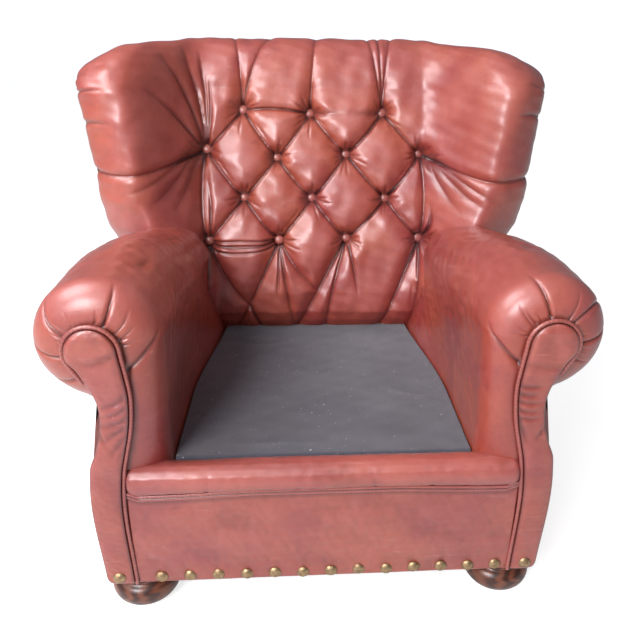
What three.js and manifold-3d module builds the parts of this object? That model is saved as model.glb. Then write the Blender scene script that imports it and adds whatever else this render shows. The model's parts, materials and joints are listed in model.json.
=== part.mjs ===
// A tufted leather club chair without its loose seat cushion, built the way an upholsterer builds it:
// a hardwood frame, sinuous seat springs, padded inside back and arms, facings, welts, buttons and bun feet.
// Millimetres, +Z up, the sitter looks along -Y. While the pieces are made, y is measured from the face of
// the front panel; the finished chair is then centred over its own footprint.
import * as THREE from "three";
import { mergeVertices } from "three/addons/utils/BufferGeometryUtils.js";
import Module from "manifold-3d";

const wasm = await Module();
wasm.setup();

// ---- driving dimensions ----
const gap = 0.4; // clearance between neighbouring pieces
const baseZ = 70; // lower edge of the upholstery
const railBottom = 80;
const railTop = 258;
const railThickness = 30;
const facingY = -10; // front of the arm facings
const facingDepth = 18;
const frameY = facingY + facingDepth + gap; // front of the hardwood frame
const frameRear = frameY + railThickness + gap; // where the side rails and arm rails start
const frontHalf = 333.5; // half width of the front panel
const deckZ = 302; // top of the black seat deck
const deckFrontY = 48;
const deckRearY = 588;
const borderTop = 319; // top of the padded front border
const weltZ = 266; // middle of the double welt under it
const outerX = 392; // outside face of the arms at the front
const headRadius = 39; // round head of the arm facing
const rollX = 361; // centre of the arm roll at the front
const rollZ = 541;
const rollRadius = 103;
const sideThickness = 5.6; // the outside arm panels
const toeIn = 0.042; // how far the arms close in for each millimetre towards the back
const chairTop = 977;
const rearLean = 0.2; // lean of the outside back, y for each millimetre of z
const postLean = 0.16; // lean of the rear posts
const postX = [285, 315];
const postInset = 8; // how much smaller than the facing the front posts are
const sideRailRear = 640;
const buttonRadius = 10.5;
const buttonLean = 0.371; // lean of the plane that the buttons sit in
const frontReach = -14; // furthest forward point, on the front border
const rearReach = 901; // furthest point back, on the top roll

// ---- helpers ----
const clamp = (v, low, high) => Math.min(high, Math.max(low, v));
const smooth = (v, low, high) => {
  const t = clamp((v - low) / (high - low), 0, 1);
  return t * t * (3 - 2 * t);
};
const upTo = (count) => [...Array(count).keys()];

// Straight-line interpolation in a list of [position, value] pairs.
function along(table, at) {
  const next = table.findIndex(([position]) => position >= at);
  if (next === 0) return table[0][1];
  if (next < 0) return table[table.length - 1][1];
  const [p0, v0] = table[next - 1];
  const [p1, v1] = table[next];
  return v0 + ((v1 - v0) * (at - p0)) / (p1 - p0);
}

// A geometry as a manifold-3d solid with its faces out, whichever way the geometry was wound.
function solidOf(geometry) {
  const bare = geometry.clone();
  bare.deleteAttribute("normal");
  bare.deleteAttribute("uv");
  const merged = mergeVertices(bare, 1e-3);
  const vertProperties = new Float32Array(merged.attributes.position.array);
  const make = (triVerts) => {
    return new wasm.Manifold(new wasm.Mesh({ numProp: 3, vertProperties, triVerts }));
  };
  const made = make(new Uint32Array(merged.index.array));
  if (made.volume() > 0) return made;
  const turned = new Uint32Array(merged.index.array);
  for (let i = 0; i < turned.length; i += 3) {
    [turned[i + 1], turned[i + 2]] = [turned[i + 2], turned[i + 1]];
  }
  return make(turned);
}

function geometryOf(solid) {
  const mesh = solid.getMesh();
  const geometry = new THREE.BufferGeometry();
  geometry.setAttribute("position", new THREE.BufferAttribute(mesh.vertProperties, 3));
  geometry.setIndex(new THREE.BufferAttribute(mesh.triVerts, 1));
  geometry.computeVertexNormals();
  return geometry;
}

const largest = (solid) => solid.decompose().sort((a, b) => b.volume() - a.volume())[0];

// Quads between rings of points, with a cap on each end; flat(point) gives a cap's own 2D point.
function loft(rings, flat) {
  const count = rings[0].length;
  const index = [];
  for (let r = 0; r + 1 < rings.length; r++) {
    for (let i = 0; i < count; i++) {
      const j = (i + 1) % count;
      const [a, b] = [r * count + i, r * count + j];
      index.push(a, b, b + count, a, b + count, a + count);
    }
  }
  const cap = (ring, start, last) => {
    const contour = ring.map(flat);
    const forward = THREE.ShapeUtils.isClockWise(contour) !== last;
    for (const [a, b, c] of THREE.ShapeUtils.triangulateShape(contour, [])) {
      index.push(start + a, start + (forward ? b : c), start + (forward ? c : b));
    }
  };
  cap(rings[0], 0, false);
  cap(rings[rings.length - 1], (rings.length - 1) * count, true);
  const points = rings.flat().flatMap((p) => [p.x, p.y, p.z]);
  const geometry = new THREE.BufferGeometry();
  geometry.setAttribute("position", new THREE.Float32BufferAttribute(points, 3));
  return geometry.setIndex(index);
}

// A board between two corners, made larger all round by grow.
function box([x0, x1], [y0, y1], [z0, z1], grow = 0) {
  const geometry = new THREE.BoxGeometry(x1 - x0 + 2 * grow, y1 - y0 + 2 * grow, z1 - z0 + 2 * grow);
  return geometry.translate((x0 + x1) / 2, (y0 + y1) / 2, (z0 + z1) / 2);
}

// Leans a piece: x grows by xPerY for each mm of y, y grows by yPerX and yPerZ.
function shear(geometry, { xPerY = 0, yPerX = 0, yPerZ = 0 }) {
  return geometry.applyMatrix4(
    new THREE.Matrix4().set(1, xPerY, 0, 0, yPerX, 1, yPerZ, 0, 0, 0, 1, 0, 0, 0, 0, 1),
  );
}

const polygon = (points) => new THREE.Shape(points.map(([a, b]) => new THREE.Vector2(a, b)));
const extrude = (shape, depth, curveSegments) => {
  return new THREE.ExtrudeGeometry(shape, { depth, bevelEnabled: false, curveSegments });
};

// A shape drawn in x and z, extruded back from y0.
const plate = (shape, y0, depth) => extrude(shape, depth, 7).rotateX(Math.PI / 2).translate(0, y0 + depth, 0);

// A shape drawn in x and y, extruded up from z0.
const slab = (shape, z0, depth) => extrude(shape, depth, 8).translate(0, 0, z0);

// A shape drawn in y and z, extruded from x0 to x1.
function bar(shape, x0, x1) {
  const [x, y, z] = [new THREE.Vector3(1, 0, 0), new THREE.Vector3(0, 1, 0), new THREE.Vector3(0, 0, 1)];
  const geometry = extrude(shape, x1 - x0, 7);
  return geometry.applyMatrix4(new THREE.Matrix4().makeBasis(y, z, x)).translate(x0, 0, 0);
}

// A round cord following a list of points.
function cord(points, radius, steps, curveSegments) {
  const extrudePath = new THREE.CatmullRomCurve3(points, false, "centripetal");
  const round = new THREE.Shape().absarc(0, 0, radius, 0, Math.PI * 2, false);
  return new THREE.ExtrudeGeometry(round, { steps, curveSegments, extrudePath });
}

// A profile of [radius, height] pairs turned about the vertical axis.
const turned = (profile, segments) => {
  return new THREE.LatheGeometry(profile.map(([r, h]) => new THREE.Vector2(r, h)), segments).rotateX(Math.PI / 2);
};

const leather = new THREE.MeshStandardMaterial({ color: 0x8a3a33, roughness: 0.42 });
const deckCloth = new THREE.MeshStandardMaterial({ color: 0x2b2d33, roughness: 0.9 });
const padding = new THREE.MeshStandardMaterial({ color: 0xd9d2bf, roughness: 0.95 });
const beech = new THREE.MeshStandardMaterial({ color: 0xc6a071, roughness: 0.7 });
const stained = new THREE.MeshStandardMaterial({ color: 0x4f2a1c, roughness: 0.35 });
const steel = new THREE.MeshStandardMaterial({ color: 0x8b8d90, roughness: 0.4, metalness: 1 });

const chair = new THREE.Group();

function add(name, solid, material) {
  const mesh = new THREE.Mesh(geometryOf(solid), material);
  mesh.name = name;
  chair.add(mesh);
  return solid;
}

const sides = [
  ["left", -1],
  ["right", 1],
];
const onSide = (geometry, s) => solidOf(s < 0 ? geometry.clone().scale(-1, 1, 1) : geometry);

// ---- arm facing: a narrow board with a round head, a waist and a straight foot ----
const innerEdge = [[343, 290], [338, 325], [330, 358], [321, 396], [316, 430], [314, 465], [317, 500], [322, 530]];
const outerEdge = [
  [399, 531], [386, 512], [376, 491], [368, 473], [362, 451],
  [361, 422], [366, 392], [376, 360], [388, 331], [outerX, 305],
];

// The outside of the arm follows the same waist: [z, x] from the base to under the roll.
const sideLine = [
  [baseZ, outerX - 0.5], [190, outerX], [305, outerX - 0.5], [331, 388], [360, 376], [392, 366], [422, 361], [446, 361.5],
];

function facingShape(inset, foot) {
  const inner = innerEdge.map(([x, z]) => new THREE.Vector2(x + inset, z));
  const outer = outerEdge.map(([x, z]) => new THREE.Vector2(x - inset, z));
  const shape = new THREE.Shape();
  shape.moveTo(343 + inset, foot);
  shape.lineTo(inner[0].x, inner[0].y);
  shape.splineThru(inner.slice(1));
  shape.absarc(rollX, rollZ, headRadius - inset, Math.PI * 1.04, -Math.PI * 0.04, true);
  shape.splineThru(outer);
  shape.lineTo(389 - inset, foot);
  shape.closePath();
  return shape;
}

// ---- hardwood frame, each board a function of how much larger than life it is made ----
const frame = {
  frontRail: (grow = 0) => {
    return box([-frontHalf - 9, frontHalf + 9], [frameY, frameY + railThickness], [railBottom, railTop], grow);
  },
  backRail: (grow = 0) => {
    const reach = postX[0] - gap;
    return box([-reach, reach], [sideRailRear + gap, sideRailRear + 30], [railBottom, railTop], grow);
  },
  lowerBackRail: (grow = 0) => {
    const reach = postX[0] - gap;
    const y = sideRailRear + 4 - postLean * railBottom;
    return shear(box([-reach, reach], [y, y + 24], [275, 325], grow), { yPerZ: postLean });
  },
  crestRail: (grow = 0) => {
    const reach = postX[0] - gap;
    const y = sideRailRear + 3 - postLean * railBottom;
    return shear(box([-reach, reach], [y, y + 24], [790, 850], grow), { yPerZ: postLean });
  },
  frontPost: () => plate(facingShape(postInset, railBottom), frameY, railThickness),
  sideRail: () => {
    return shear(box([361.5, outerX - 6.4], [frameRear, sideRailRear], [railBottom, railTop]), { xPerY: -toeIn });
  },
  armRail: (grow = 0) => {
    return shear(box([339, 367], [frameRear, 704], [508, 534], grow), { xPerY: -0.07 });
  },
  backPost: (grow = 0) => {
    const y = sideRailRear + gap - postLean * railBottom;
    return shear(box(postX, [y, y + 30], [railBottom, 850], grow), { yPerZ: postLean });
  },
  wingBoard: (grow = 0) => {
    const board = box([postX[1] + gap, 405], [1032, 1054], [590, 780], grow);
    return shear(board, { yPerX: -1.2, yPerZ: 0.13 });
  },
};

// ---- inside back: plan curves that lean back, flare out and wrap forward into the wings ----
const frontProfile = [
  [262, 592], [302, 590], [420, 583], [520, 590], [620, 622], [720, 657], [812, 692],
  [870, 716], [900, 732], [925, 750], [945, 769], [960, 790], [970, 808], [chairTop, 828],
];
const topRoll = [
  [864.5, 880], [880, 893], [905, 901], [930, 897], [950, 887], [965, 869], [971, 855], [chairTop, 842],
];
const halfWidth = [
  [262, 343], [430, 350], [500, 455], [574, 487], [640, 494], [700, 500], [800, 513], [870, 522],
];

const rearLine = (z) => 745 + (z - weltZ) * rearLean;
const crown = (x) => 8 * (1 - (x / 460) ** 2); // the faces of the back are never dead flat

function backHalf(z) {
  const s = clamp((z - 870) / (chairTop + 1 - 870), 0, 1);
  return along(halfWidth, z) * (1 - s ** 2.6) ** 0.22;
}

// How far the wing stands forward of the middle of the back.
function wing(x, z, power) {
  const reach = Math.max(120, along(halfWidth, z) - 325);
  const forward = 105 + 95 * clamp((z - 574) / 320, 0, 1);
  return forward * smooth(z, 200, 560) * clamp((Math.abs(x) - 240) / reach, 0, 1) ** power;
}

const rearFace = (x, z) => (z > 864 ? along(topRoll, z) - 8 : rearLine(z)) + crown(x) - wing(x, z, 2.6);
const frontFace = (x, z) => along(frontProfile, z) + 4 - crown(x) / 2 - wing(x, z, 1.4);

function backRing(z, grow) {
  const half = backHalf(z) + grow;
  const edge = 85;
  const at = upTo(29).map((i) => Math.sin((i / 28 - 0.5) * Math.PI) * half);
  const row = (rear) => {
    return at.map((x) => {
      const [front, back] = [frontFace(x, z) - grow, rearFace(x, z) + grow];
      const over = clamp((Math.abs(x) - (half - edge)) / edge, 0, 1);
      const middle = (front + back) / 2;
      const y = middle + ((rear ? back : front) - middle) * Math.sqrt(1 - over * over);
      return new THREE.Vector3(x, y, z);
    });
  };
  return [...row(false), ...row(true).slice(1, -1).reverse()];
}

function backBody(grow) {
  const levels = [302, 420, 500, 574, 620, 720, 812, 864, 864.6, 885, 905, 925, 945, 960, 970, 976];
  const foot = backRing(268, grow);
  foot.forEach((p) => p.setZ(268 - grow));
  const rings = levels.map((z) => backRing(z, grow));
  return solidOf(loft([foot, ...rings], (p) => new THREE.Vector2(p.x, p.y)));
}

// ---- tufting: buttons in staggered rows of three and four, each at the bottom of a cone ----
// [x, z] of each button: rows about 97 apart and 171 along, slackened unevenly by years of use
const rows = [
  [[-174, 815], [-12, 808], [165, 810]],
  [[-262, 726], [-93, 708], [75, 716], [256, 718]],
  [[-174, 617], [-9, 616], [171, 615]],
  [[-261, 518], [-90, 519], [75, 523], [254, 523]],
];
const buttons = rows.flatMap((row, r) => {
  return row.map(([x, z], i) => ({
    name: `back_button_${r + 1}_${i + 1}`,
    at: [x, 629 + (z - 520) * buttonLean, z],
  }));
});
const outOfBack = Math.PI / 2 - Math.atan(buttonLean); // turns an upright profile out of the leaning back
const buttonProfile = [[0, -2], [7, -2], [buttonRadius, 0], [buttonRadius, 1.5], [8.6, 4.4], [4.6, 6.2], [0, 6.8]];
const dimpleProfile = [[0, -3.2], [12.5, -3.2], [13.5, 6], [30, 52], [34, 80], [0, 80]];

let insideBack = backBody(0);
for (const { at } of buttons) {
  insideBack = insideBack.subtract(solidOf(turned(dimpleProfile, 12).rotateX(outOfBack).translate(...at)));
}
for (const [, s] of sides) {
  for (const board of [frame.backPost(gap), frame.armRail(gap), frame.wingBoard(gap)]) {
    insideBack = insideBack.subtract(onSide(board, s));
  }
}
for (const board of [frame.lowerBackRail(gap), frame.crestRail(gap)]) {
  insideBack = insideBack.subtract(solidOf(board));
}
add("inside_back", largest(insideBack), leather);

for (const { name, at } of buttons) {
  add(name, solidOf(turned(buttonProfile, 12).rotateX(outOfBack).translate(...at)), leather);
}

// ---- outside back: a thin leather panel from the base to just under the top roll ----
function outsideBackRing(z) {
  const half = along([[baseZ, 364], [450, 366], [574, 384], [861, 448]], z);
  const at = upTo(19).map((i) => (i / 9 - 1) * half);
  const face = (x, off) => new THREE.Vector3(x, rearFace(x, z) + off, z);
  return [...at.map((x) => face(x, 3)), ...at.map((x) => face(x, 10)).reverse()];
}
const outsideBackLevels = [baseZ, 262, 302, 420, 500, 574, 620, 720, 812, 861];
const outsideBack = solidOf(loft(outsideBackLevels.map(outsideBackRing), (p) => new THREE.Vector2(p.x, p.y)));
const backCutter = backBody(gap);
add("outside_back", largest(outsideBack.subtract(backCutter)), leather);

// ---- arm: a padded section swept back; the roll dies away where it meets the wing ----
const deckHalf = (y) => 263 - 40 * smooth(y, 250, 640); // half width of the seat deck between the arms

function armRing(y, grow = 0) {
  const open = Math.sqrt(smooth(y, frameY, 58)); // the leather swells out from the edge of the facing
  const die = smooth(y, 430, 630);
  const radius = headRadius + 5 + (rollRadius - headRadius - 5) * open - 10 * smooth(y, 300, 560);
  const centreZ = rollZ - 50 * smooth(y, 150, 560);
  const foot = 336 - (336 - deckHalf(y)) * open;
  const inner = 332 - (74 - 12 * smooth(y, 300, 590)) * open;
  const sideAt = (z) => along(sideLine, z) - sideThickness - gap + grow - toeIn * y - 6 * (1 - open);
  const points = [[foot + 3, 262], [foot - 2, 320], [(foot + inner) / 2 - 2, 400], [inner, 480]];
  for (const i of upTo(17)) {
    const angle = Math.PI * (1 - (i / 16) * 1.5);
    const outward = radius * (1 - die) + (outerX - toeIn * y - rollX) * die;
    const reach = Math.cos(angle) > 0.001 ? outward + grow : rollX - inner;
    points.push([rollX + reach * Math.cos(angle), centreZ + (radius + grow) * Math.sin(angle)]);
  }
  const lower = centreZ - radius - 6 - grow;
  for (const t of [0, 0.25, 0.5, 0.75, 1]) {
    const z = lower + (262 - lower) * t;
    points.push([sideAt(z), z]);
  }
  return points.map(([x, z]) => new THREE.Vector3(x, y, z));
}
const armLevels = [frameY, 12, 18, 28, 42, 58, 110, 200, 300, 400, 470, 520, 570, 610, 650];
const armOf = (grow) => loft(armLevels.map((y) => armRing(y, grow)), (p) => new THREE.Vector2(p.x, p.z));
const armGeometry = armOf(0);

// The cord round the inner edge and the head of each facing.
function armWelt(radius) {
  const off = radius + gap;
  const head = upTo(11).map((i) => {
    const angle = Math.PI * (1 - i * 0.105);
    const reach = headRadius + off;
    return new THREE.Vector3(rollX + reach * Math.cos(angle), -1, rollZ + reach * Math.sin(angle));
  });
  return cord([
    ...[baseZ + 2, 150, 230].map((z) => new THREE.Vector3(343 - off, -1, z)),
    ...innerEdge.slice(0, -1).map(([x, z]) => new THREE.Vector3(x - off, -1, z)),
    ...head,
    new THREE.Vector3(392, -1, 508),
    new THREE.Vector3(382, -1, 488),
  ], radius, 60, 4);
}

const borderRoom = box([0, frontHalf + gap], [frameY - 5, deckFrontY], [255, borderTop]);
const postRoom = plate(facingShape(postInset - gap, 200), frameY - 1, railThickness + 1 + gap);
const facingRoom = plate(facingShape(-0.3, baseZ - 5), facingY - 5, facingDepth + 5);
const outsideArmRear = [432, 360, 300, 262, 200, 130, baseZ].map((z) => [rearFace(366, z) - 4, z]);
const outsideArmShape = polygon([[frameY, baseZ], [frameY, 432], ...outsideArmRear]);
const sideSection = polygon([
  ...sideLine.map(([z, x]) => [x, z]),
  ...sideLine.map(([z, x]) => [x - sideThickness, z]).reverse(),
]);
const outsideArm = shear(plate(sideSection, frameY, 760), { xPerY: -toeIn });
let seatCutter = backCutter;
for (const [side, s] of sides) {
  let arm = onSide(armGeometry, s).subtract(backCutter);
  for (const room of [borderRoom, postRoom, frame.armRail(gap)]) arm = arm.subtract(onSide(room, s));
  arm = add(`${side}_arm`, largest(arm), leather);
  seatCutter = seatCutter.add(arm);
  const panel = onSide(outsideArm, s)
    .intersect(onSide(bar(outsideArmShape, 300, 420), s))
    .subtract(onSide(armOf(gap), s))
    .subtract(backCutter);
  add(`${side}_outside_arm`, largest(panel), leather);
  add(`${side}_arm_facing`, onSide(plate(facingShape(0, baseZ), facingY, facingDepth), s), leather);
  add(`${side}_arm_welt`, largest(onSide(armWelt(4), s).subtract(onSide(facingRoom, s))), leather);
  add(`${side}_front_post`, onSide(frame.frontPost(), s), beech);
  add(`${side}_side_rail`, onSide(frame.sideRail(), s), beech);
  add(`${side}_arm_rail`, onSide(frame.armRail(), s), beech);
  add(`${side}_back_post`, onSide(frame.backPost(), s), beech);
  add(`${side}_wing_board`, onSide(frame.wingBoard(), s), beech);
}
add("front_rail", solidOf(frame.frontRail()), beech);
add("back_rail", solidOf(frame.backRail()), beech);
add("lower_back_rail", solidOf(frame.lowerBackRail()), beech);
add("crest_rail", solidOf(frame.crestRail()), beech);

// ---- front: panel, double welt and the padded border above it ----
const lobe = 3.3;
const panelTop = weltZ - 2 * lobe - gap;
add("front_panel", solidOf(box([-frontHalf, frontHalf], [0, 8], [baseZ, panelTop])), leather);

const doubleWelt = new THREE.Shape();
doubleWelt.absarc(0, lobe * 0.9, lobe, -Math.PI * 0.3, Math.PI * 1.3, false);
doubleWelt.absarc(0, -lobe * 0.9, lobe, Math.PI * 0.7, Math.PI * 2.3, false);
add("front_double_welt", solidOf(bar(doubleWelt, -frontHalf, frontHalf).translate(0, 1, weltZ)), leather);

const borderBottom = weltZ + 2 * lobe + gap;
const border = new THREE.Shape();
border.moveTo(2, borderBottom);
border.quadraticCurveTo(frontReach, borderBottom + 4, frontReach, 292);
border.quadraticCurveTo(frontReach, 317, 12, borderTop - gap);
border.quadraticCurveTo(38, 316, deckFrontY - gap, deckZ - 1);
border.lineTo(deckFrontY - gap, borderBottom);
border.closePath();
add("front_border", solidOf(bar(border, 4 - frontHalf, frontHalf - 4)), leather);

// ---- seat: springs, pad and black deck cloth ----
function springPoints(x) {
  const [y0, y1] = [frameY + 12, sideRailRear + 16]; // on top of the front and back rails
  return upTo(31).map((i) => {
    const t = i / 30;
    const across = [0, 24, 0, -24][i % 4];
    return new THREE.Vector3(x + across, y0 + (y1 - y0) * t, 261.2 + 7 * Math.sin(Math.PI * t));
  });
}
[-180, -60, 60, 180].forEach((x, i) => {
  add(`seat_spring_${i + 1}`, solidOf(cord(springPoints(x), 2, 74, 3)), steel);
});

function deckShape(inset) {
  const right = [deckFrontY, 250, 330, 400, 460, 520, deckRearY - inset].map((y) => [deckHalf(y) - inset, y]);
  return polygon([...right, ...right.slice().reverse().map(([x, y]) => [-x, y])]);
}
add("seat_pad", largest(solidOf(slab(deckShape(2), 274, 25)).subtract(seatCutter)), padding);
add("deck_cloth", largest(solidOf(slab(deckShape(1), 299.4, 2.6)).subtract(seatCutter)), deckCloth);

// ---- corner blocks, bun feet, their bolts and the dust cover ----
const boltRadius = 5;
const footProfile = [
  [0, 0], [42, 0], [51, 5], [60, 16], [63, 28], [62, 38], [57, 46], [48, 53], [52, 57], [50, 62],
  [43, 66], [41, 75.6], [boltRadius + 0.3, 75.6], [boltRadius + 0.3, 42], [0, 42],
];
const dustEdge = [[-380, frameY + 2], [380, frameY + 2], [352, 704], [-352, 704]];
let dustCover = solidOf(slab(polygon(dustEdge), 76, 3.6));
for (const [place, corner, toward] of [["front", frameRear, 1], ["rear", sideRailRear - gap, -1]]) {
  const inner = 357.5 - toeIn * (corner + 40 * toward);
  const [x, y] = [inner - 15, corner + 22 * toward];
  const triangle = polygon([[inner, corner], [inner - 78, corner], [inner, corner + 78 * toward]]);
  const hole = new THREE.CylinderGeometry(boltRadius + 0.3, boltRadius + 0.3, 100, 12).rotateX(Math.PI / 2);
  const bolt = new THREE.CylinderGeometry(boltRadius, boltRadius, 78, 12).rotateX(Math.PI / 2);
  hole.translate(x, y, railBottom + 10);
  for (const [side, s] of sides) {
    const block = onSide(slab(triangle, railBottom, 44), s).subtract(onSide(hole, s));
    add(`${side}_${place}_corner_block`, block, beech);
    add(`${side}_${place}_foot_bolt`, onSide(bolt.clone().translate(x, y, 82), s), steel);
    add(`${side}_${place}_foot`, onSide(turned(footProfile, 24).translate(x, y, 0), s), stained);
    dustCover = dustCover.subtract(onSide(hole, s));
  }
}
add("dust_cover", dustCover, deckCloth);

chair.position.y = -(frontReach + rearReach) / 2;

export default chair;
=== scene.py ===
import json
import math

import bmesh
import bpy
import numpy as np
from mathutils import Matrix, Vector


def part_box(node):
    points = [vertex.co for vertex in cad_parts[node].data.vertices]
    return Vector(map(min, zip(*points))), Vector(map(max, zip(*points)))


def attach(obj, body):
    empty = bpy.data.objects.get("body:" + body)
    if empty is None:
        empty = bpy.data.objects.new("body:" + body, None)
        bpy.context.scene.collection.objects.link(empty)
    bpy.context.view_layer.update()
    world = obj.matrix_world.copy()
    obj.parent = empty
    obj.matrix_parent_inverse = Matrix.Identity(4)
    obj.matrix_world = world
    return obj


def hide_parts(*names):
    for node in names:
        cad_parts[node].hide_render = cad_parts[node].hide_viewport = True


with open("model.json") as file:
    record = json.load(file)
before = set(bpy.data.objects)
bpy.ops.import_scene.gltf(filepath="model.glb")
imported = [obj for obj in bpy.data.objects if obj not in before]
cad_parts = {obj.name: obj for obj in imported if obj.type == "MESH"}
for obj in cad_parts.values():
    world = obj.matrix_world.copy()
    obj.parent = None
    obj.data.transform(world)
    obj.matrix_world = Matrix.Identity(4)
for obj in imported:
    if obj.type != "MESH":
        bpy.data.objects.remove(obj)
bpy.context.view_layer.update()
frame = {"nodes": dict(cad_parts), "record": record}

# a worn, deep-buttoned leather club chair whose loose seat cushion is gone
# shapes are worked out in millimetres: x across, y back from the face of the front panel, z up
mm = 0.001
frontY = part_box("front_panel")[0].y
random = np.random.default_rng(7)


def boxMm(node):
    low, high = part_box(node)
    return np.array([[p.x, p.y - frontY, p.z] for p in (low, high)]) / mm


def smooth(v, low, high):
    # cubic ease: 0 below low, 1 above high, level at both ends
    t = np.clip((v - low) / (high - low), 0, 1)
    return t * t * (3 - 2 * t)


def along(table, at):
    # straight lines between the [position, value] pairs of a table
    table = np.array(table, float)
    return np.interp(at, table[:, 0], table[:, 1])


def rounded(v):
    # quarter circle of an edge: sqrt(1 - (1 - v) ** 2), 0 at the rim and 1 from v = 1 inwards
    return np.sqrt(1 - (1 - np.clip(v, 0, 1)) ** 2)


def bell(count):
    # weights of a moving average, highest in the middle, that sum to 1
    return np.hanning(count) / np.hanning(count).sum()


def averaged(values, count):
    # each value replaced by the weighted average of count neighbours; the ends stay as they are
    out, half = np.array(values), count // 2
    out[half:-half] = np.convolve(values, bell(count), "valid")
    return out


def runLength(points):
    # distance walked along a line, from its first point to each of its points
    return np.r_[0, np.cumsum(np.linalg.norm(np.diff(points, axis=0), axis=1))]


def waves(a, b, size, count, seed):
    # sum of count sine waves in random directions, about size mm long, scaled to roughly -1..1
    own = np.random.default_rng(seed)
    total = 0
    for turn, phase, stretch in own.random((count, 3)):
        turn, phase = turn * 6.28, phase * 6.28
        k = 2 * math.pi / (size * (0.6 + 0.9 * stretch))
        total = total + np.sin(k * (a * math.cos(turn) + b * math.sin(turn)) + phase)
    return total / math.sqrt(count)


def bezier(path, steps=10):
    # a curve through its first and last point, pulled towards the one between
    path = np.array(path, float)
    if len(path) != 3:
        return path
    t = np.linspace(0, 1, steps)[:, None]
    return (1 - t) ** 2 * path[0] + 2 * t * (1 - t) * path[1] + t * t * path[2]


def fold(a, b, path, depth, width, lip=0.0, gain=2.0):
    # valley along a path on the (a, b) surface: depth * (1 - distance / width) ** gain on both sides;
    # depth and width change along the path, and lip lifts the left side a little so it lies over the right
    path = bezier(path)
    steps = runLength(path)
    depth, width = np.atleast_1d(depth).astype(float), np.atleast_1d(width).astype(float)
    out = np.zeros(a.shape)
    reach = width.max() + 1
    low, high = path.min(0) - reach, path.max(0) + reach
    near = (a > low[0]) & (a < high[0]) & (b > low[1]) & (b < high[1])
    if not near.any():
        return out
    pa, pb = a[near], b[near]
    best = np.full(pa.shape, 1e9)
    where, side = np.zeros(pa.shape), np.ones(pa.shape)
    for i in range(len(path) - 1):
        (ax, ay), (dx, dy) = path[i], path[i + 1] - path[i]
        length = math.hypot(dx, dy)
        t = np.clip(((pa - ax) * dx + (pb - ay) * dy) / length**2, 0, 1)
        ex, ey = pa - ax - t * dx, pb - ay - t * dy
        d = np.hypot(ex, ey)
        closer = d < best
        best = np.where(closer, d, best)
        where = np.where(closer, (steps[i] + t * length) / steps[-1], where)
        side = np.where(closer, np.sign(dx * ey - dy * ex), side)
    deep = np.interp(where, np.linspace(0, 1, len(depth)), depth)
    wide = np.interp(where, np.linspace(0, 1, len(width)), width)
    value = deep * np.clip(1 - best / wide, 0, 1) ** gain
    value -= np.where(side > 0, lip * deep * np.clip(1 - best / (wide * 0.45), 0, 1) ** 2, 0)
    out[near] = value
    return out


def cone(a, b, at, depth, width, gain=2.0):
    # round pit: depth * (1 - distance / width) ** gain
    return depth * np.clip(1 - np.hypot(a - at[0], b - at[1]) / width, 0, 1) ** gain


def blendDepths(fields, power=3.0):
    # smooth union of valleys: (sum of field ** power) ** (1 / power)
    total = sum(np.clip(f, 0, None) ** power for f in fields)
    lips = sum(np.clip(f, None, 0) for f in fields)
    return total ** (1 / power) + lips


def unit(v):
    return v / np.maximum(np.linalg.norm(v, axis=-1, keepdims=True), 1e-9)


def normalsOf(points):
    # unit normals of a grid from the differences along its rows and its columns
    return unit(np.cross(np.gradient(points, axis=1), np.gradient(points, axis=0)))


def gridFaces(rows, cols, wrap=False):
    # four corners of each cell of a grid; wrap joins the last column to the first
    r, c = np.meshgrid(np.arange(rows - 1), np.arange(cols if wrap else cols - 1), indexing="ij")
    d = (c + 1) % cols
    return np.stack([r * cols + c, r * cols + d, (r + 1) * cols + d, (r + 1) * cols + c], -1).reshape(-1, 4)


def meshPiece(name, points, faces, material, masks=None, outward=None):
    # points in mm with y from the front panel; doubles are merged and the faces turned outwards
    # or, on an open surface, to the side given as outward
    place = np.asarray(points, float).reshape(-1, 3) * mm + np.array([0, frontY, 0])
    mesh = bpy.data.meshes.new(name)
    mesh.from_pydata(place, [], [list(map(int, f)) for f in faces])
    for key, values in (masks or {}).items():
        mask = mesh.attributes.new(key, "FLOAT", "POINT")
        mask.data.foreach_set("value", np.ravel(values).astype(np.float32))
    piece = bpy.data.objects.new(name, mesh)
    bpy.context.scene.collection.objects.link(piece)
    bm = bmesh.new()
    bm.from_mesh(mesh)
    bmesh.ops.remove_doubles(bm, verts=bm.verts, dist=2e-5)
    bmesh.ops.recalc_face_normals(bm, faces=bm.faces)
    if outward is not None:
        bm.faces.ensure_lookup_table()
        direction = Vector(outward)
        if sum(f.normal.dot(direction) * f.calc_area() for f in bm.faces) < 0:
            bmesh.ops.reverse_faces(bm, faces=bm.faces)
    bm.to_mesh(mesh)
    bm.free()
    mesh.polygons.foreach_set("use_smooth", np.ones(len(mesh.polygons), bool))
    piece.cycles.shadow_terminator_geometry_offset = 0.2
    mesh.materials.append(material)
    mesh.update()
    return piece


def gridPiece(name, points, material, masks=None, wrap=True, ends=True, outward=None):
    # a grid surface; wrap closes it from its last column to its first, ends puts a fan over its end rows
    rows, cols = points.shape[:2]
    faces = gridFaces(rows, cols, wrap).tolist()
    flat = points.reshape(-1, 3)
    masks = {k: np.ravel(v) for k, v in (masks or {}).items()}
    if ends:
        middles = np.stack([points[0].mean(0), points[-1].mean(0)])
        first, last = len(flat), len(flat) + 1
        flat = np.concatenate([flat, middles])
        masks = {k: np.r_[v, v[:1], v[-1:]] for k, v in masks.items()}
        for i in range(cols if wrap else cols - 1):
            j = (i + 1) % cols
            faces.append([first, j, i])
            faces.append([last, (rows - 1) * cols + i, (rows - 1) * cols + j])
    return meshPiece(name, flat, faces, material, masks, outward)


def keep(piece, slot, *nodes, fill=None):
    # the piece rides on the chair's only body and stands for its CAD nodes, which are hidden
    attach(piece, "root")
    if nodes:
        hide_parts(*nodes)
    return piece


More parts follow.
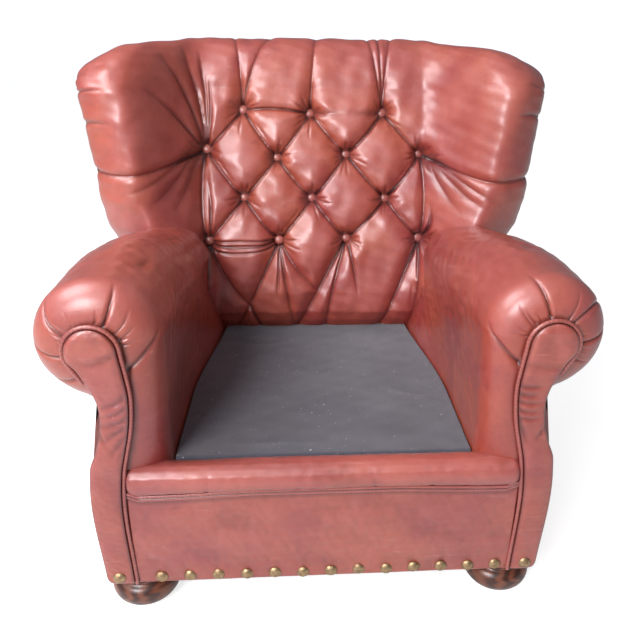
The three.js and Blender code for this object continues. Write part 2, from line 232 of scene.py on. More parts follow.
def cover(name, slot, node, points, material, paintedShade, rub=None, fill=None, wrap=True):
    # a closed leather piece over its CAD node, with its masks of painted shade in creases, seams and at edges
    # and of pale rubbed places
    masks = {"paintedShade": np.clip(paintedShade, 0, 1)}
    if rub is not None:
        masks["rub"] = np.clip(rub, 0, 1)
    return keep(gridPiece(name, points, material, masks, wrap=wrap), slot, node, fill=fill)


def add(tree, kind, inputs=None, **settings):
    # one shader node; an input is a plain value or the socket that feeds it
    node = tree.nodes.new(kind)
    for key, value in settings.items():
        setattr(node, key, value)
    for key, value in (inputs or {}).items():
        if isinstance(value, bpy.types.NodeSocket):
            tree.links.new(value, node.inputs[key])
        else:
            node.inputs[key].default_value = value
    return node


def ramp(tree, value, stops, mode="LINEAR"):
    node = add(tree, "ShaderNodeValToRGB", {"Fac": value})
    node.color_ramp.interpolation = mode
    while len(node.color_ramp.elements) < len(stops):
        node.color_ramp.elements.new(0.5)
    for element, (position, level) in zip(node.color_ramp.elements, stops):
        element.position = position
        element.color = (level, level, level, 1)
    return node.outputs["Color"]


def mixColour(tree, amount, first, second, mode="MIX"):
    node = add(tree, "ShaderNodeMix", data_type="RGBA", blend_type=mode)
    for index, value in ((0, amount), (6, first), (7, second)):
        if isinstance(value, bpy.types.NodeSocket):
            tree.links.new(value, node.inputs[index])
        else:
            node.inputs[index].default_value = value
    return node.outputs[2]


def maths(tree, operation, first, second=0.0, clamp=False):
    node = add(tree, "ShaderNodeMath", operation=operation, use_clamp=clamp)
    for index, value in ((0, first), (1, second)):
        if isinstance(value, bpy.types.NodeSocket):
            tree.links.new(value, node.inputs[index])
        else:
            node.inputs[index].default_value = value
    return node.outputs[0]


def newGroup(name, inputs, outputs):
    group = bpy.data.node_groups.new(name, "ShaderNodeTree")
    for label, kind, value in inputs:
        socket = group.interface.new_socket(label, in_out="INPUT", socket_type=kind)
        socket.default_value = value
    for label, kind in outputs:
        group.interface.new_socket(label, in_out="OUTPUT", socket_type=kind)
    return group, add(group, "NodeGroupInput").outputs, add(group, "NodeGroupOutput").inputs


def noise(tree, place, scale, detail=3.0, roughness=0.5, distortion=0.0):
    settings = {"Vector": place, "Scale": scale, "Detail": detail, "Roughness": roughness,
                "Distortion": distortion}
    return add(tree, "ShaderNodeTexNoise", settings).outputs["Fac"]


def stretched(tree, place, scale, turn=(0, 0, 0)):
    # the place scaled by its own factor along each axis, after a turn
    mapping = add(tree, "ShaderNodeMapping", {"Vector": place, "Rotation": turn, "Scale": scale})
    return mapping.outputs["Vector"]


def streaks(tree, place, turn, stretch, low, high):
    # thin broken lines: noise squeezed along two axes and cut off near its top
    return ramp(tree, noise(tree, stretched(tree, place, stretch, turn), 1.0, 2.0, 0.5, 0.35),
                [(low, 0.0), (high, 1.0)])


leatherLook = {
    # deep is the dark of the mottling and also the colour of the painted shade
    "deep": (0.042, 0.006, 0.007, 1),
    "base": (0.25, 0.032, 0.029, 1),
    "warm": (0.34, 0.066, 0.034, 1),
    "pale": (0.46, 0.135, 0.115, 1),
    "scuffed": (0.6, 0.3, 0.25, 1),
}


def leatherGroup():
    # mottled pull-up leather: cloudy tone, pale rubbed places, painted shade in creases, fine grain, hairline
    # scuffs
    group, given, made = newGroup(
        "wornLeather",
        [("PaintedShade", "NodeSocketFloat", 0.0), ("Rub", "NodeSocketFloat", 0.0),
         ("Scuffs", "NodeSocketFloat", 1.0)],
        [("Color", "NodeSocketColor"), ("Roughness", "NodeSocketFloat"), ("Height", "NodeSocketFloat")],
    )
    place = add(group, "ShaderNodeTexCoord").outputs["Object"]
    cloud = noise(group, place, 6.0, 5.0, 0.6, 0.4)
    patch = noise(group, place, 17.0, 4.0, 0.55, 0.8)
    speck = noise(group, place, 90.0, 3.0, 0.6)
    tone = ramp(group, cloud, [(0.36, 0.0), (0.64, 1.0)])
    tone = mixColour(group, tone, leatherLook["base"], leatherLook["warm"])
    for source, stops, strength, colour in (
        (patch, [(0.52, 0.0), (0.8, 1.0)], 0.3, "pale"),
        (patch, [(0.25, 1.0), (0.45, 0.0)], 0.1, "deep"),
        (speck, [(0.3, 1.0), (0.5, 0.0)], 0.18, "deep"),
    ):
        share = maths(group, "MULTIPLY", ramp(group, source, stops), strength)
        tone = mixColour(group, share, tone, leatherLook[colour])
    scuff = maths(group, "MAXIMUM",
                  streaks(group, place, (0.2, 0.5, 0.3), (9, 150, 150), 0.68, 0.76),
                  streaks(group, place, (0.9, -0.4, 1.1), (150, 12, 150), 0.70, 0.78))
    scuff = maths(group, "MULTIPLY", scuff, ramp(group, noise(group, place, 4.0), [(0.42, 0.0), (0.6, 1.0)]))
    scuff = maths(group, "MULTIPLY", scuff, given["Scuffs"])
    worn = maths(group, "MULTIPLY", given["Rub"], ramp(group, patch, [(0.25, 0.6), (0.7, 1.0)]), True)
    tone = mixColour(group, worn, tone, leatherLook["pale"])
    tone = mixColour(group, maths(group, "MULTIPLY", scuff, 0.24), tone, leatherLook["scuffed"])
    # painted shade: the shade mask pulls the colour towards deep in creases, seams and at edges
    tone = mixColour(group, given["PaintedShade"], tone, leatherLook["deep"])
    group.links.new(tone, made["Color"])
    rough = maths(group, "ADD", 0.24, maths(group, "MULTIPLY", cloud, 0.16))
    rough = maths(group, "ADD", rough, maths(group, "MULTIPLY", scuff, 0.2))
    group.links.new(maths(group, "ADD", rough, maths(group, "MULTIPLY", patch, 0.1)), made["Roughness"])
    cells = add(group, "ShaderNodeTexVoronoi", {"Vector": place, "Scale": 620.0}, feature="DISTANCE_TO_EDGE")
    pebble = ramp(group, cells.outputs["Distance"], [(0.0, 0.0), (0.22, 1.0)])
    height = maths(group, "ADD", maths(group, "MULTIPLY", pebble, 0.22), maths(group, "MULTIPLY", speck, 0.5))
    height = maths(group, "ADD", height, maths(group, "MULTIPLY", noise(group, place, 34.0, 4.0), 1.1))
    group.links.new(maths(group, "SUBTRACT", height, maths(group, "MULTIPLY", scuff, 0.35)), made["Height"])
    return group


wornLeather = leatherGroup()


def principled(name, **values):
    material = bpy.data.materials.new(name)
    material.use_nodes = True
    tree = material.node_tree
    shader = tree.nodes["Principled BSDF"]
    for key, value in values.items():
        shader.inputs[key.replace("_", " ")].default_value = value
    return material, tree, shader


def leatherMaterial(name, scuffs=1.0, rub=0.0, paintedShade=0.0, bump=0.5):
    # the mask of painted shade and the Rub mask come from the piece's own vertices
    material, tree, shader = principled(name, Coat_Weight=0.85, Coat_Roughness=0.29, IOR=1.5)
    masks = [add(tree, "ShaderNodeAttribute", attribute_name=n).outputs["Fac"] for n in ("paintedShade", "rub")]
    skin = add(tree, "ShaderNodeGroup", node_tree=wornLeather)
    tree.links.new(maths(tree, "ADD", masks[0], paintedShade, True), skin.inputs["PaintedShade"])
    tree.links.new(maths(tree, "ADD", masks[1], rub, True), skin.inputs["Rub"])
    skin.inputs["Scuffs"].default_value = scuffs
    tree.links.new(skin.outputs["Color"], shader.inputs["Base Color"])
    tree.links.new(skin.outputs["Roughness"], shader.inputs["Roughness"])
    relief = add(tree, "ShaderNodeBump",
                 {"Height": skin.outputs["Height"], "Strength": bump, "Distance": 0.0012})
    tree.links.new(relief.outputs["Normal"], shader.inputs["Normal"])
    return material


leather = leatherMaterial("reddishBrownLeather")
frontLeather = leatherMaterial("scuffedFrontLeather", scuffs=1.4, rub=0.08)
buttonLeather = leatherMaterial("buttonLeather", scuffs=0.6, rub=0.42)
weltLeather = leatherMaterial("weltLeather", scuffs=0.5, rub=0.5)


def clothMaterial(name, dark, light, threads, lint):
    # plain weave: two crossed sets of threads, a cloudy tone and specks of lint
    material, tree, shader = principled(name, Roughness=0.92, Sheen_Weight=0.3, Sheen_Roughness=0.6)
    place = add(tree, "ShaderNodeTexCoord").outputs["Object"]
    weave = []
    for direction in ("X", "Y"):
        settings = {"Vector": place, "Scale": threads, "Distortion": 0.6, "Detail": 1.0, "Detail Scale": 2.0}
        threadSet = add(tree, "ShaderNodeTexWave", settings, bands_direction=direction)
        weave.append(threadSet.outputs["Fac"])
    woven = maths(tree, "MULTIPLY", weave[0], weave[1])
    cloud = ramp(tree, noise(tree, place, 9.0, 5.0, 0.65), [(0.3, 0.0), (0.7, 1.0)])
    tone = mixColour(tree, cloud, dark, light)
    tone = mixColour(tree, maths(tree, "MULTIPLY", woven, 0.35), tone, light)
    specks = ramp(tree, noise(tree, place, 210.0, 1.0), [(0.745, 0.0), (0.77, 1.0)])
    lintColour = (0.5, 0.48, 0.47, 1)
    tone = mixColour(tree, maths(tree, "MULTIPLY", specks, lint), tone, lintColour)
    tree.links.new(tone, shader.inputs["Base Color"])
    relief = add(tree, "ShaderNodeBump", {"Height": woven, "Strength": 0.5, "Distance": 0.0004})
    tree.links.new(relief.outputs["Normal"], shader.inputs["Normal"])
    return material


deckCloth = clothMaterial("blackDeckCloth", (0.026, 0.026, 0.038, 1), (0.055, 0.055, 0.074, 1), 260.0, 0.8)
dustCloth = clothMaterial("dustCoverCloth", (0.02, 0.02, 0.02, 1), (0.04, 0.04, 0.04, 1), 300.0, 0.3)
feltCloth = clothMaterial("cottonFelt", (0.55, 0.5, 0.42, 1), (0.68, 0.63, 0.55, 1), 200.0, 0.5)


def woodMaterial(name, dark, light, gloss, coat):
    # rings of growth stretched along the grain, with fine pores
    material, tree, shader = principled(name, Coat_Weight=coat, Coat_Roughness=0.22)
    place = add(tree, "ShaderNodeTexCoord").outputs["Object"]
    rings = add(tree, "ShaderNodeTexWave", {"Vector": stretched(tree, place, (1.0, 1.0, 5.0)), "Scale": 11.0,
                                            "Distortion": 7.0, "Detail": 3.0})
    pores = noise(tree, stretched(tree, place, (60, 600, 600)), 1.0)
    tone = mixColour(tree, ramp(tree, rings.outputs["Fac"], [(0.15, 0.0), (0.9, 1.0)]), dark, light)
    shaded = maths(tree, "MULTIPLY", ramp(tree, pores, [(0.3, 1.0), (0.45, 0.0)]), 0.5)
    tone = mixColour(tree, shaded, tone, dark)
    tree.links.new(tone, shader.inputs["Base Color"])
    rough = maths(tree, "ADD", gloss, maths(tree, "MULTIPLY", noise(tree, place, 30.0), 0.15))
    tree.links.new(rough, shader.inputs["Roughness"])
    relief = add(tree, "ShaderNodeBump", {"Height": pores, "Strength": 0.25, "Distance": 0.0005})
    tree.links.new(relief.outputs["Normal"], shader.inputs["Normal"])
    return material


footWood = woodMaterial("darkStainedWood", (0.045, 0.012, 0.006, 1), (0.16, 0.048, 0.022, 1), 0.28, 0.35)
frameWood = woodMaterial("rawHardwood", (0.36, 0.22, 0.12, 1), (0.58, 0.41, 0.26, 1), 0.6, 0.0)


def metalMaterial(name, colour, tarnish, gloss):
    # metal with dull tarnish gathered in cloudy patches and small dents
    material, tree, shader = principled(name, Metallic=1.0)
    place = add(tree, "ShaderNodeTexCoord").outputs["Object"]
    patch = noise(tree, place, 160.0, 4.0, 0.6)
    tone = mixColour(tree, ramp(tree, patch, [(0.4, 0.0), (0.66, 1.0)]), colour, tarnish)
    tree.links.new(tone, shader.inputs["Base Color"])
    rough = maths(tree, "ADD", gloss, maths(tree, "MULTIPLY", patch, 0.3))
    tree.links.new(rough, shader.inputs["Roughness"])
    dents = noise(tree, place, 420.0)
    relief = add(tree, "ShaderNodeBump", {"Height": dents, "Strength": 0.15, "Distance": 0.0004})
    tree.links.new(relief.outputs["Normal"], shader.inputs["Normal"])
    return material


nailBrass = metalMaterial("antiqueBrass", (0.44, 0.32, 0.18, 1), (0.27, 0.18, 0.10, 1), 0.34)
springSteel = metalMaterial("springSteel", (0.42, 0.42, 0.43, 1), (0.2, 0.19, 0.18, 1), 0.3)
print("materials made")

# the inside back is worked out as a smooth skin first, then its tufts and pleats are pressed into it
back = {
    "foot": 268, "deck": 302, "shoulder": 868, "top": 977,
    # each table gives a distance at a height: the front and rear of the flat middle, the half widths of the
    # whole back, of its flat middle and out to the wing's ridge, and how far wing and edge come forward
    "front": [[262, 592], [302, 584], [325, 571], [350, 563], [400, 566], [440, 573], [480, 581],
              [520, 590], [570, 604], [620, 622], [720, 657], [812, 692], [870, 716]],
    "rear": [[262, 752], [868, 873]],
    "half": [[262, 343], [430, 350], [500, 455], [574, 486], [640, 493], [700, 499], [800, 512],
             [870, 521]],
    "flat": [[262, 236], [430, 236], [530, 256], [870, 256]],
    "ridge": [[262, 272], [430, 275], [500, 322], [574, 364], [640, 395], [870, 426]],
    "forward": [[262, 6], [400, 60], [560, 103], [640, 128], [870, 196]],
    "reach": [[262, 70], [500, 70], [560, 108], [640, 118], [700, 101], [870, 96]],
    "lean": 0.20,
    "cell": 2.1,
    "columns": (121, 62, 26),  # over the flat, the wing and its edge
    "rows": (4, 84, 46),  # below the deck, over the top and behind
    "soften": 29,  # columns that the wing's ridge is averaged over, about 100 mm
    "overTop": 168,  # unrolled length of the pleats over the top edge
}


def backColumns():
    # place across: 0..1 over the tufted flat, 1..2 along the wing to its ridge, 2..3 round its edge
    flat, wing, edge = back["columns"]
    half = np.r_[np.linspace(0, 1, flat), np.linspace(1, 2, wing)[1:], np.linspace(2, 3, edge)[1:]]
    return np.r_[-half[::-1], half[1:]]


def backSkin():
    # each row is one plan curve: a straight middle, an S along the wing, half of an ellipse round its edge;
    # above the shoulder the front and rear of the curve are joined by half ellipses standing on it
    u = backColumns()
    side, s = np.sign(u), np.abs(u)
    foot, deck, shoulder = back["foot"], back["deck"], back["shoulder"]
    below, over, behind = back["rows"]
    zFront = np.r_[np.linspace(foot, deck, below)[:-1],
                   np.linspace(deck, shoulder, int((shoulder - deck) / back["cell"]))]
    turn = np.linspace(0, math.pi, over)[1:, None]
    zRear = np.linspace(shoulder, foot, behind)[1:]

    def planCurve(z, rear):
        z = z[:, None]
        flat, ridge, half, forward, frontFlat, rearFlat, reach = (
            along(back[key], z) for key in ("flat", "ridge", "half", "forward", "front", "rear", "reach"))
        w, e = np.clip(s - 1, 0, 1)[None], np.clip(s - 2, 0, 1)[None] * math.pi / 2
        sway = smooth(w, 0, 1)  # the S of the wing
        x = np.minimum(s, 1)[None] * flat + (ridge - flat) * w + (half - ridge) * np.sin(e)
        endY = frontFlat - forward + half - ridge
        frontLine = frontFlat - forward * sway + (half - ridge) * (1 - np.cos(e))
        rearLine = rearFlat + (endY + reach - rearFlat) * sway - reach * (1 - np.cos(e))
        return np.stack([side * x, (rearLine if rear else frontLine) + 0 * x, z + 0 * x], -1)

    (x0, y0, z0), (_, y1, _) = (planCurve(np.array([shoulder], float), rear)[0].T for rear in (False, True))
    rise = (back["top"] - shoulder) * (1 - (np.abs(x0) / np.abs(x0).max()) ** 4.5) ** 0.385
    zDome = z0 + rise * np.sin(turn)
    yDome = (y0 + y1) / 2 - (y1 - y0) / 2 * np.cos(turn) + back["lean"] * (zDome - z0)
    dome = np.stack([x0 + 0 * turn, yDome, zDome], -1)
    points = np.concatenate([planCurve(zFront, False), dome, planCurve(zRear, True)])
    # the ridge of the wing is softened: every row is averaged there
    margin, columns = back["soften"] // 2, points.shape[1]
    padded = np.pad(points, ((0, 0), (margin, margin), (0, 0)), mode="edge")
    softened = sum(w * padded[:, i:i + columns] for i, w in enumerate(bell(back["soften"])))
    share = (smooth(s, 0.9, 1.2) * (1 - smooth(s, 2.35, 2.75)))[None, :, None]
    points = points + (softened - points) * share
    # the level of a row is its height up to the shoulder, and from there on the distance walked over the top
    walked = runLength(points[:, columns // 2])
    level = walked - walked[len(zFront) - 1] + shoulder
    level[:len(zFront)] = zFront
    return points, np.repeat(level[:, None], columns, 1), s[None] + 0 * points[:, :, 0], len(zFront)


skin, level, across, frontRows = backSkin()
buttonRows = (3, 4, 3, 4)
buttonNames = [[f"back_button_{row + 1}_{i + 1}" for i in range(count)]
               for row, count in enumerate(buttonRows)]
buttons = [[boxMm(name).mean(0) for name in row] for row in buttonNames]

tuft = {
    "pit": 36, "pitWidth": 50,
    "edge": (24, 17, 14, 17, 24), "edgeWidth": 52, "edgeLip": 0.14,
    "line": 5.5, "lineWidth": 5.5,  # the sharp crease at the bottom of every fold
    "gathers": 14, "gatherDepth": 4.2, "gatherLength": (20, 58), "gatherWidth": 6.5,
}


def tuftFields():
    # how far the leather is drawn back, in mm: pits at the buttons, pleats between them and small gathers
    a, b = skin[:, :, 0], level
    at = [[p[[0, 2]] for p in row] for row in buttons]
    big, small, lines = [], np.zeros(a.shape), np.zeros(a.shape)

    def pleat(path, depth, width, lip=0.0, line=1.0):
        # a soft valley with a sharp crease along its bottom
        big.append(fold(a, b, path, depth, width, lip))
        strength = line * tuft["line"] * np.clip(np.array(depth, float) / max(depth), 0.25, 1)
        strength[-1] *= 0.3 if depth[-1] == 0 else 1
        np.maximum(lines, fold(a, b, path, strength, tuft["lineWidth"], gain=1.2), out=lines)

    def pleats(table, lip=0.0):
        # rows of foot, bend, head, depths and widths
        for foot, bend, head, depth, width in table:
            pleat([foot, bend, head], depth, width, lip)

    for row in at:
        big += [cone(a, b, p, tuft["pit"], tuft["pitWidth"]) for p in row]
    links = []
    for upper, lower in ((0, 1), (2, 3)):  # a short row over a long one
        links += [(at[upper][i], at[lower][j]) for i in range(3) for j in (i, i + 1)]
    links += [(at[1][j], at[2][i]) for i in range(3) for j in (i, i + 1)]
    for start, end in links:
        bow = np.array([0, -random.uniform(2, 8)])
        middle = (start + end) / 2 + bow
        lip = tuft["edgeLip"] * (1 if start[0] > end[0] else -1)
        path = [start, middle, end] if lip > 0 else [end, middle, start]
        pleat(path, tuft["edge"], tuft["edgeWidth"], abs(lip))
        shift = np.array([random.uniform(-9, 9), random.uniform(5, 10)])
        beside = [start * 0.8 + end * 0.2 + shift, middle + shift * 1.3, end * 0.75 + start * 0.25 + shift]
        small += fold(a, b, beside, (0, random.uniform(1.5, 3.2), 0), 9)
    (l1, m1, r1), (l2, _, _, r2), _, (l4, p4, q4, r4) = at
    rise = back["shoulder"] + back["overTop"]
    pleats([  # over the top edge
        (l1, (l1[0] + 2, 900), (l1[0] - 20, rise), (26, 10, 4.5, 2.5), (48, 32, 18)),
        (l1, (l1[0] + 16, 900), (l1[0] + 70, rise), (16, 7, 3.5, 2), (34, 24, 15)),
        (m1, (m1[0] + 4, 900), (m1[0] + 18, rise), (26, 9, 4, 2.5), (48, 32, 18)),
        (r1, (r1[0] - 2, 900), (r1[0] + 26, rise), (26, 9, 4, 2.5), (48, 32, 18)),
        (r1, (r1[0] - 8, 890), (r1[0] - 8, rise), (12, 6, 3.5, 2), (22, 14, 12)),
        (r1, (r1[0] - 16, 890), (r1[0] - 36, rise), (14, 6, 3.5, 2), (30, 18, 14)),
    ])
    pleats([  # beside the tufts, from the wings down to the lowest row
        (l2, (l2[0] + 2, 830), (l2[0] - 48, 985), (22, 14, 8, 0), (42, 26, 20)),
        (l2, (l2[0] - 10, 820), (l2[0] - 84, 960), (16, 11, 7, 0), (28, 20, 16)),
        (l2, (l2[0] + 14, 820), (l2[0] - 12, 960), (14, 9, 6, 0), (26, 18, 14)),
        (l2, (l2[0] + 22, 800), (l2[0] + 10, 900), (12, 7, 0), (24, 16)),
        (l2, (l2[0] - 30, 790), (l2[0] - 110, 880), (9, 6, 0), (24, 18)),
        (l2, ((l2[0] + l4[0]) / 2 - 16, 620), l4, (22, 15, 14, 22), (46, 34, 40)),
        (l2 + (6, -70), (l2[0] + 14, 600), l4 + (6, 12), (0, 8, 10), (18, 20)),
        (r2, ((r2[0] + r4[0]) / 2 + 16, 620), r4, (20, 10, 9, 20), (46, 30, 36)),
        (r4 + (8, 14), (r4[0] + 26, 575), r4 + (22, 86), (12, 9, 0), (18, 14)),
        (l1, (l1 + m1) / 2 + (0, 18), m1, (12, 9, 12), (30, 22, 30)),
    ])
    small += fold(a, b, [m1, (r1 + m1) / 2 + (0, 8), r1], (6, 1, 6), 20)
    for lift, end in ((10, 0), (-6, -8), (-24, 0), (-34, -16)):
        path = [l4 + (0, end), (l4 + p4) / 2 + (0, lift), p4 + (0, end / 2)]
        small += fold(a, b, path, (4.5, 2.2, 4.5), 8)
        np.maximum(lines, fold(a, b, path, (3, 1.5, 3), 4, gain=1.2), out=lines)
    deck = back["deck"]
    pleats([  # from the lowest row to the deck
        (l4, (l4[0] + 36, 425), (-162, 362), (24, 13, 9), (46, 38, 26)),
        ((-162, 362), (-150, 330), (-138, deck), (9, 8, 6), (24, 22, 20)),
        (l4, (l4[0] + 4, 400), (l4[0] + 18, deck), (16, 8, 5), (30, 22, 18)),
        (p4, (p4[0] - 42, 430), (p4[0] - 106, deck), (28, 16, 10), (52, 42, 30)),
        (p4, (p4[0] + 38, 455), (-3, 404), (26, 14, 9), (50, 38, 26)),
        (p4, (p4[0] + 14, 420), (p4[0] + 36, deck), (14, 8, 5), (26, 20, 18)),
        (p4 + (0, -20), (p4[0] - 2, 440), (p4[0] - 6, 380), (10, 6, 0), (20, 16)),
        (q4, (q4[0] - 54, 440), (q4[0] - 122, deck), (28, 15, 10), (52, 42, 30)),
        (q4, (q4[0] - 38, 420), (q4[0] - 52, deck), (18, 10, 6), (34, 28, 24)),
        (q4 + (6, -20), (q4[0] + 22, 440), (q4[0] + 28, 390), (9, 5, 0), (20, 16)),
        (r4, (r4[0] - 52, 410), (r4[0] - 92, deck), (24, 14, 9), (46, 38, 28)),
        (r4, (r4[0] - 6, 400), (r4[0] - 16, deck), (16, 9, 6), (32, 24, 20)),
    ], 0.1)
    for p in sum(at, []):  # short gathers all round each button
        for k in range(tuft["gathers"]):
            turn = (k + random.uniform(0.1, 0.9)) * 2 * math.pi / tuft["gathers"]
            reach = random.uniform(*tuft["gatherLength"])
            way = np.array([math.cos(turn), math.sin(turn)])
            bend = p + way * reach * 0.6 + random.uniform(-4, 4, 2)
            small += fold(a, b, [p + way * 8, bend, p + way * reach],
                          (tuft["gatherDepth"], tuft["gatherDepth"] * 0.8, 0), tuft["gatherWidth"])
    pleats([  # long ones along the wings to their edges
        (l2, (-360, 690), (-500, 700), (16, 6, 7, 8), (26, 20, 18)),
        (r2, (370, 672), (500, 690), (16, 6, 7, 8), (26, 20, 18)),
    ], 0.2)
    for foot, bend, head, depth, width in (  # fans on the wings and nicks at their corners
        (l2 + (-20, -6), (-330, 650), (-380, 622), (6, 4, 0), (20, 22)),
        (l2 + (-10, -14), (-300, 640), (-330, 600), (7, 4, 0), (22, 22)),
        (l2 + (-30, 0), (-350, 668), (-440, 655), (4, 3, 0), (16, 14)),
        (r2 + (14, -12), (300, 640), (340, 600), (8, 5, 0), (20, 20)),
        (r2 + (20, -8), (330, 650), (390, 620), (7, 5, 0), (18, 18)),
        (r2 + (26, -4), (350, 660), (430, 632), (5, 4, 0), (15, 13)),
        ((-520, 866), (-480, 884), (-440, 876), (7, 5, 0), (12, 9)),
        ((-520, 800), (-480, 812), (-435, 806), (6, 5, 0), (12, 9)),
        ((520, 820), (470, 838), (430, 828), (6, 5, 0), (12, 9)),
        ((520, 905), (480, 912), (450, 905), (5, 4, 0), (12, 9)),
    ):
        small += fold(a, b, [foot, bend, head], depth, width)
    return blendDepths(big), small, lines


def makeInsideBack():
    # the skin moved inwards by folds + slack: straight back over the tufts, square to the skin elsewhere
    bigFolds, smallFolds, creaseLines = tuftFields()
    x, shoulder, deck = skin[:, :, 0], back["shoulder"], back["deck"]
    ease = 1 - smooth(level, shoulder + 150, shoulder + 230)
    slack = waves(x, level, 46, 14, 3) * 0.8 + waves(x, level, 150, 8, 4) * 1.8
    slack *= smooth(level, deck, deck + 38) * (1 - smooth(across, 2.8, 3))
    inward = normalsOf(skin)
    inward *= np.sign(inward[frontRows // 2, skin.shape[1] // 2, 1])
    straight = ((1 - smooth(np.abs(x), 245, 300)) * (1 - smooth(level, 860, 900)))[:, :, None]
    inward = inward * (1 - straight) + np.array([0, 1, 0]) * straight
    depth = (bigFolds + smallFolds + creaseLines) * ease + slack
    # painted shade: darker in the folds, along the crease lines and in the small gathers
    paintedShade = np.clip((bigFolds - 18) / 30, 0, 1) * 0.4 + np.clip(smallFolds / 9, 0, 1) * 0.2
    paintedShade = np.clip(paintedShade + creaseLines / tuft["line"] + np.clip(smallFolds / 12, 0, 0.25), 0, 1) * ease
    rub = np.clip(0.32 - depth / 26, 0, 1) * smooth(level, 330, 420)
    cover("inside_back_cover", "leather", "inside_back", skin + inward * depth[:, :, None], leather, paintedShade, rub,
          fill=0.8, wrap=False)


makeInsideBack()
print("inside back made")

button = {"swell": 1.12, "forward": 1.5, "height": 7.2, "sunk": 1.5, "lean": math.atan(0.371), "gathers": 9}


def makeButton(name):
    # dome: radius * cos(h) out, height * sin(h) ** 0.8 up, with faint pleats at its edge, leaning back
    low, high = boxMm(name)
    centre = (low + high) / 2 - (0, button["forward"], 0)
    radius = (high[0] - low[0]) / 2 * button["swell"]
    h, turn = np.meshgrid(np.linspace(0, 1, 12), np.linspace(0, 2 * math.pi, 41)[:-1], indexing="ij")
    pleating = 1 + 0.02 * np.sin(turn * button["gathers"] + centre[0]) * (1 - h)
    r = radius * np.cos(h * math.pi / 2) * pleating
    up = button["height"] * np.sin(h * math.pi / 2) ** 0.8 - button["sunk"]
    c, s = math.cos(button["lean"]), math.sin(button["lean"])
    out, rise = -up, r * np.sin(turn)
    points = centre + np.stack([r * np.cos(turn), out * c + rise * s, rise * c - out * s], -1)
    # painted shade darkens the foot of the dome where it sinks into its pit
    cover(name + "_cover", "button_leather", name, points, buttonLeather, 0.5 * (1 - h) ** 3)


for name in sum(buttonNames, []):
    makeButton(name)
print("buttons made")


def spline(table, at):
    # smooth curve through [position, value] pairs: cubic pieces with the slope of the chord beside each point
    table = np.array(table, float)
    p, v = table[:, 0], table[:, 1]
    slope = np.gradient(v, p)
    i = np.clip(np.searchsorted(p, at) - 1, 0, len(p) - 2)
    step = p[i + 1] - p[i]
    t = np.clip((at - p[i]) / step, 0, 1)
    return ((2 * t**3 - 3 * t**2 + 1) * v[i] + (t**3 - 2 * t**2 + t) * step * slope[i]
            + (3 * t**2 - 2 * t**3) * v[i + 1] + (t**3 - t**2) * step * slope[i + 1])


arm = {
    "rollX": 361, "rollZ": 541, "rollRadius": 103, "headRadius": 43,
    "foot": 262, "inside": 258, "side": 392,  # height of the wall's foot, its inner and its outer side
    "swell": 52, "frontY": 5, "rearY": 706, "toeIn": 0.042,
    "step": 2.9, "nose": 44, "wallRows": 90, "rollRows": 230, "sideRows": 30, "past": 92,
    # half widths of the facing at a height
    "inner": [[70, 343], [290, 343], [325, 338], [358, 330], [396, 321], [430, 316], [465, 314],
              [500, 317], [541, 322]],
    "outline": [[70, 389], [305, 392], [331, 388], [360, 376], [392, 366], [422, 361], [451, 362], [473, 368],
                [491, 376], [512, 386], [531, 399], [541, 400]],
    # pleats at the front edge: angle round the head at the welt and at the far end, length, depth
    "pleats": {
        "left": [(27, 48, 74, 4.2), (118, 110, 66, 4), (190, 168, 62, 4.4), (-17, 4, 66, 4),
                 (-65, -34, 60, 3.4), (146, 134, 38, 1.6), (160, 150, 30, 1.6)],
        "right": [(190, 166, 66, 4.6), (100, 110, 84, 4.2), (60, 63, 48, 1.6), (48, 22, 104, 4.4),
                  (-3, 9, 70, 4), (-38, -30, 38, 2.6), (140, 132, 40, 1.6)],
    },
}


def deckHalf(y):
    # half width of the deck, narrower towards the back
    return 263 - 40 * smooth(y, 250, 640)


def wingFront(x, z):
    # front of the back at x, z: its flat middle, then the S of the wing
    flat, ridge = along(back["flat"], z), along(back["ridge"], z)
    return along(back["front"], z) - along(back["forward"], z) * smooth(np.abs(x), flat, ridge)


def armSection(y):
    # outline at each y: wall up from the deck, roll over its top from 180 to -92 degrees, straight side down;
    # turn is that angle, carried on past both ends of the roll
    y = y[:, None]
    sink, die, late = 50 * smooth(y, 150, 560), smooth(y, 430, 630), smooth(y, 400, 590)
    radius, centreZ = arm["rollRadius"] - 10 * smooth(y, 300, 560), arm["rollZ"] - sink
    foot, inner = deckHalf(y) + 3 * late, arm["inside"] - 2 * late
    up = np.linspace(0, 1, arm["wallRows"])[None]
    wallZ = arm["foot"] + (centreZ - arm["foot"]) * up
    wallX = foot + (inner - foot) * smooth(wallZ, 290, 480) + 5 * np.sin(math.pi * up)
    angle = np.linspace(math.pi, -math.radians(arm["past"]), arm["rollRows"])[None, 1:]
    outward = radius * (1 - die) + (arm["side"] - arm["toeIn"] * y - arm["rollX"]) * die
    reach = np.where(np.cos(angle) > 0, outward, arm["rollX"] - inner)
    rollX, rollZ = arm["rollX"] + reach * np.cos(angle), centreZ + radius * np.sin(angle)
    down = np.linspace(0, 1, arm["sideRows"])[None, 1:]
    endZ = rollZ[:, -1:] - 3
    sideZ = endZ + (arm["foot"] - endZ) * down
    sideX = spline(arm["outline"], sideZ) - 8 - arm["toeIn"] * y
    x = np.concatenate([wallX, rollX, sideX], 1)
    z = np.concatenate([wallZ, rollZ, sideZ], 1)
    turn = np.concatenate([180 + 70 * (1 - up), np.degrees(angle), -arm["past"] - 60 * down], 1)
    # hollowed beside the end button of the lowest row, so that the button stays clear of it
    x = x + 19 * smooth(y, 555, 605) * np.exp(-(((z - 527) / 30) ** 2)) * (turn > 60)
    return np.stack([x, y + 0 * x, z], -1), turn + 0 * x


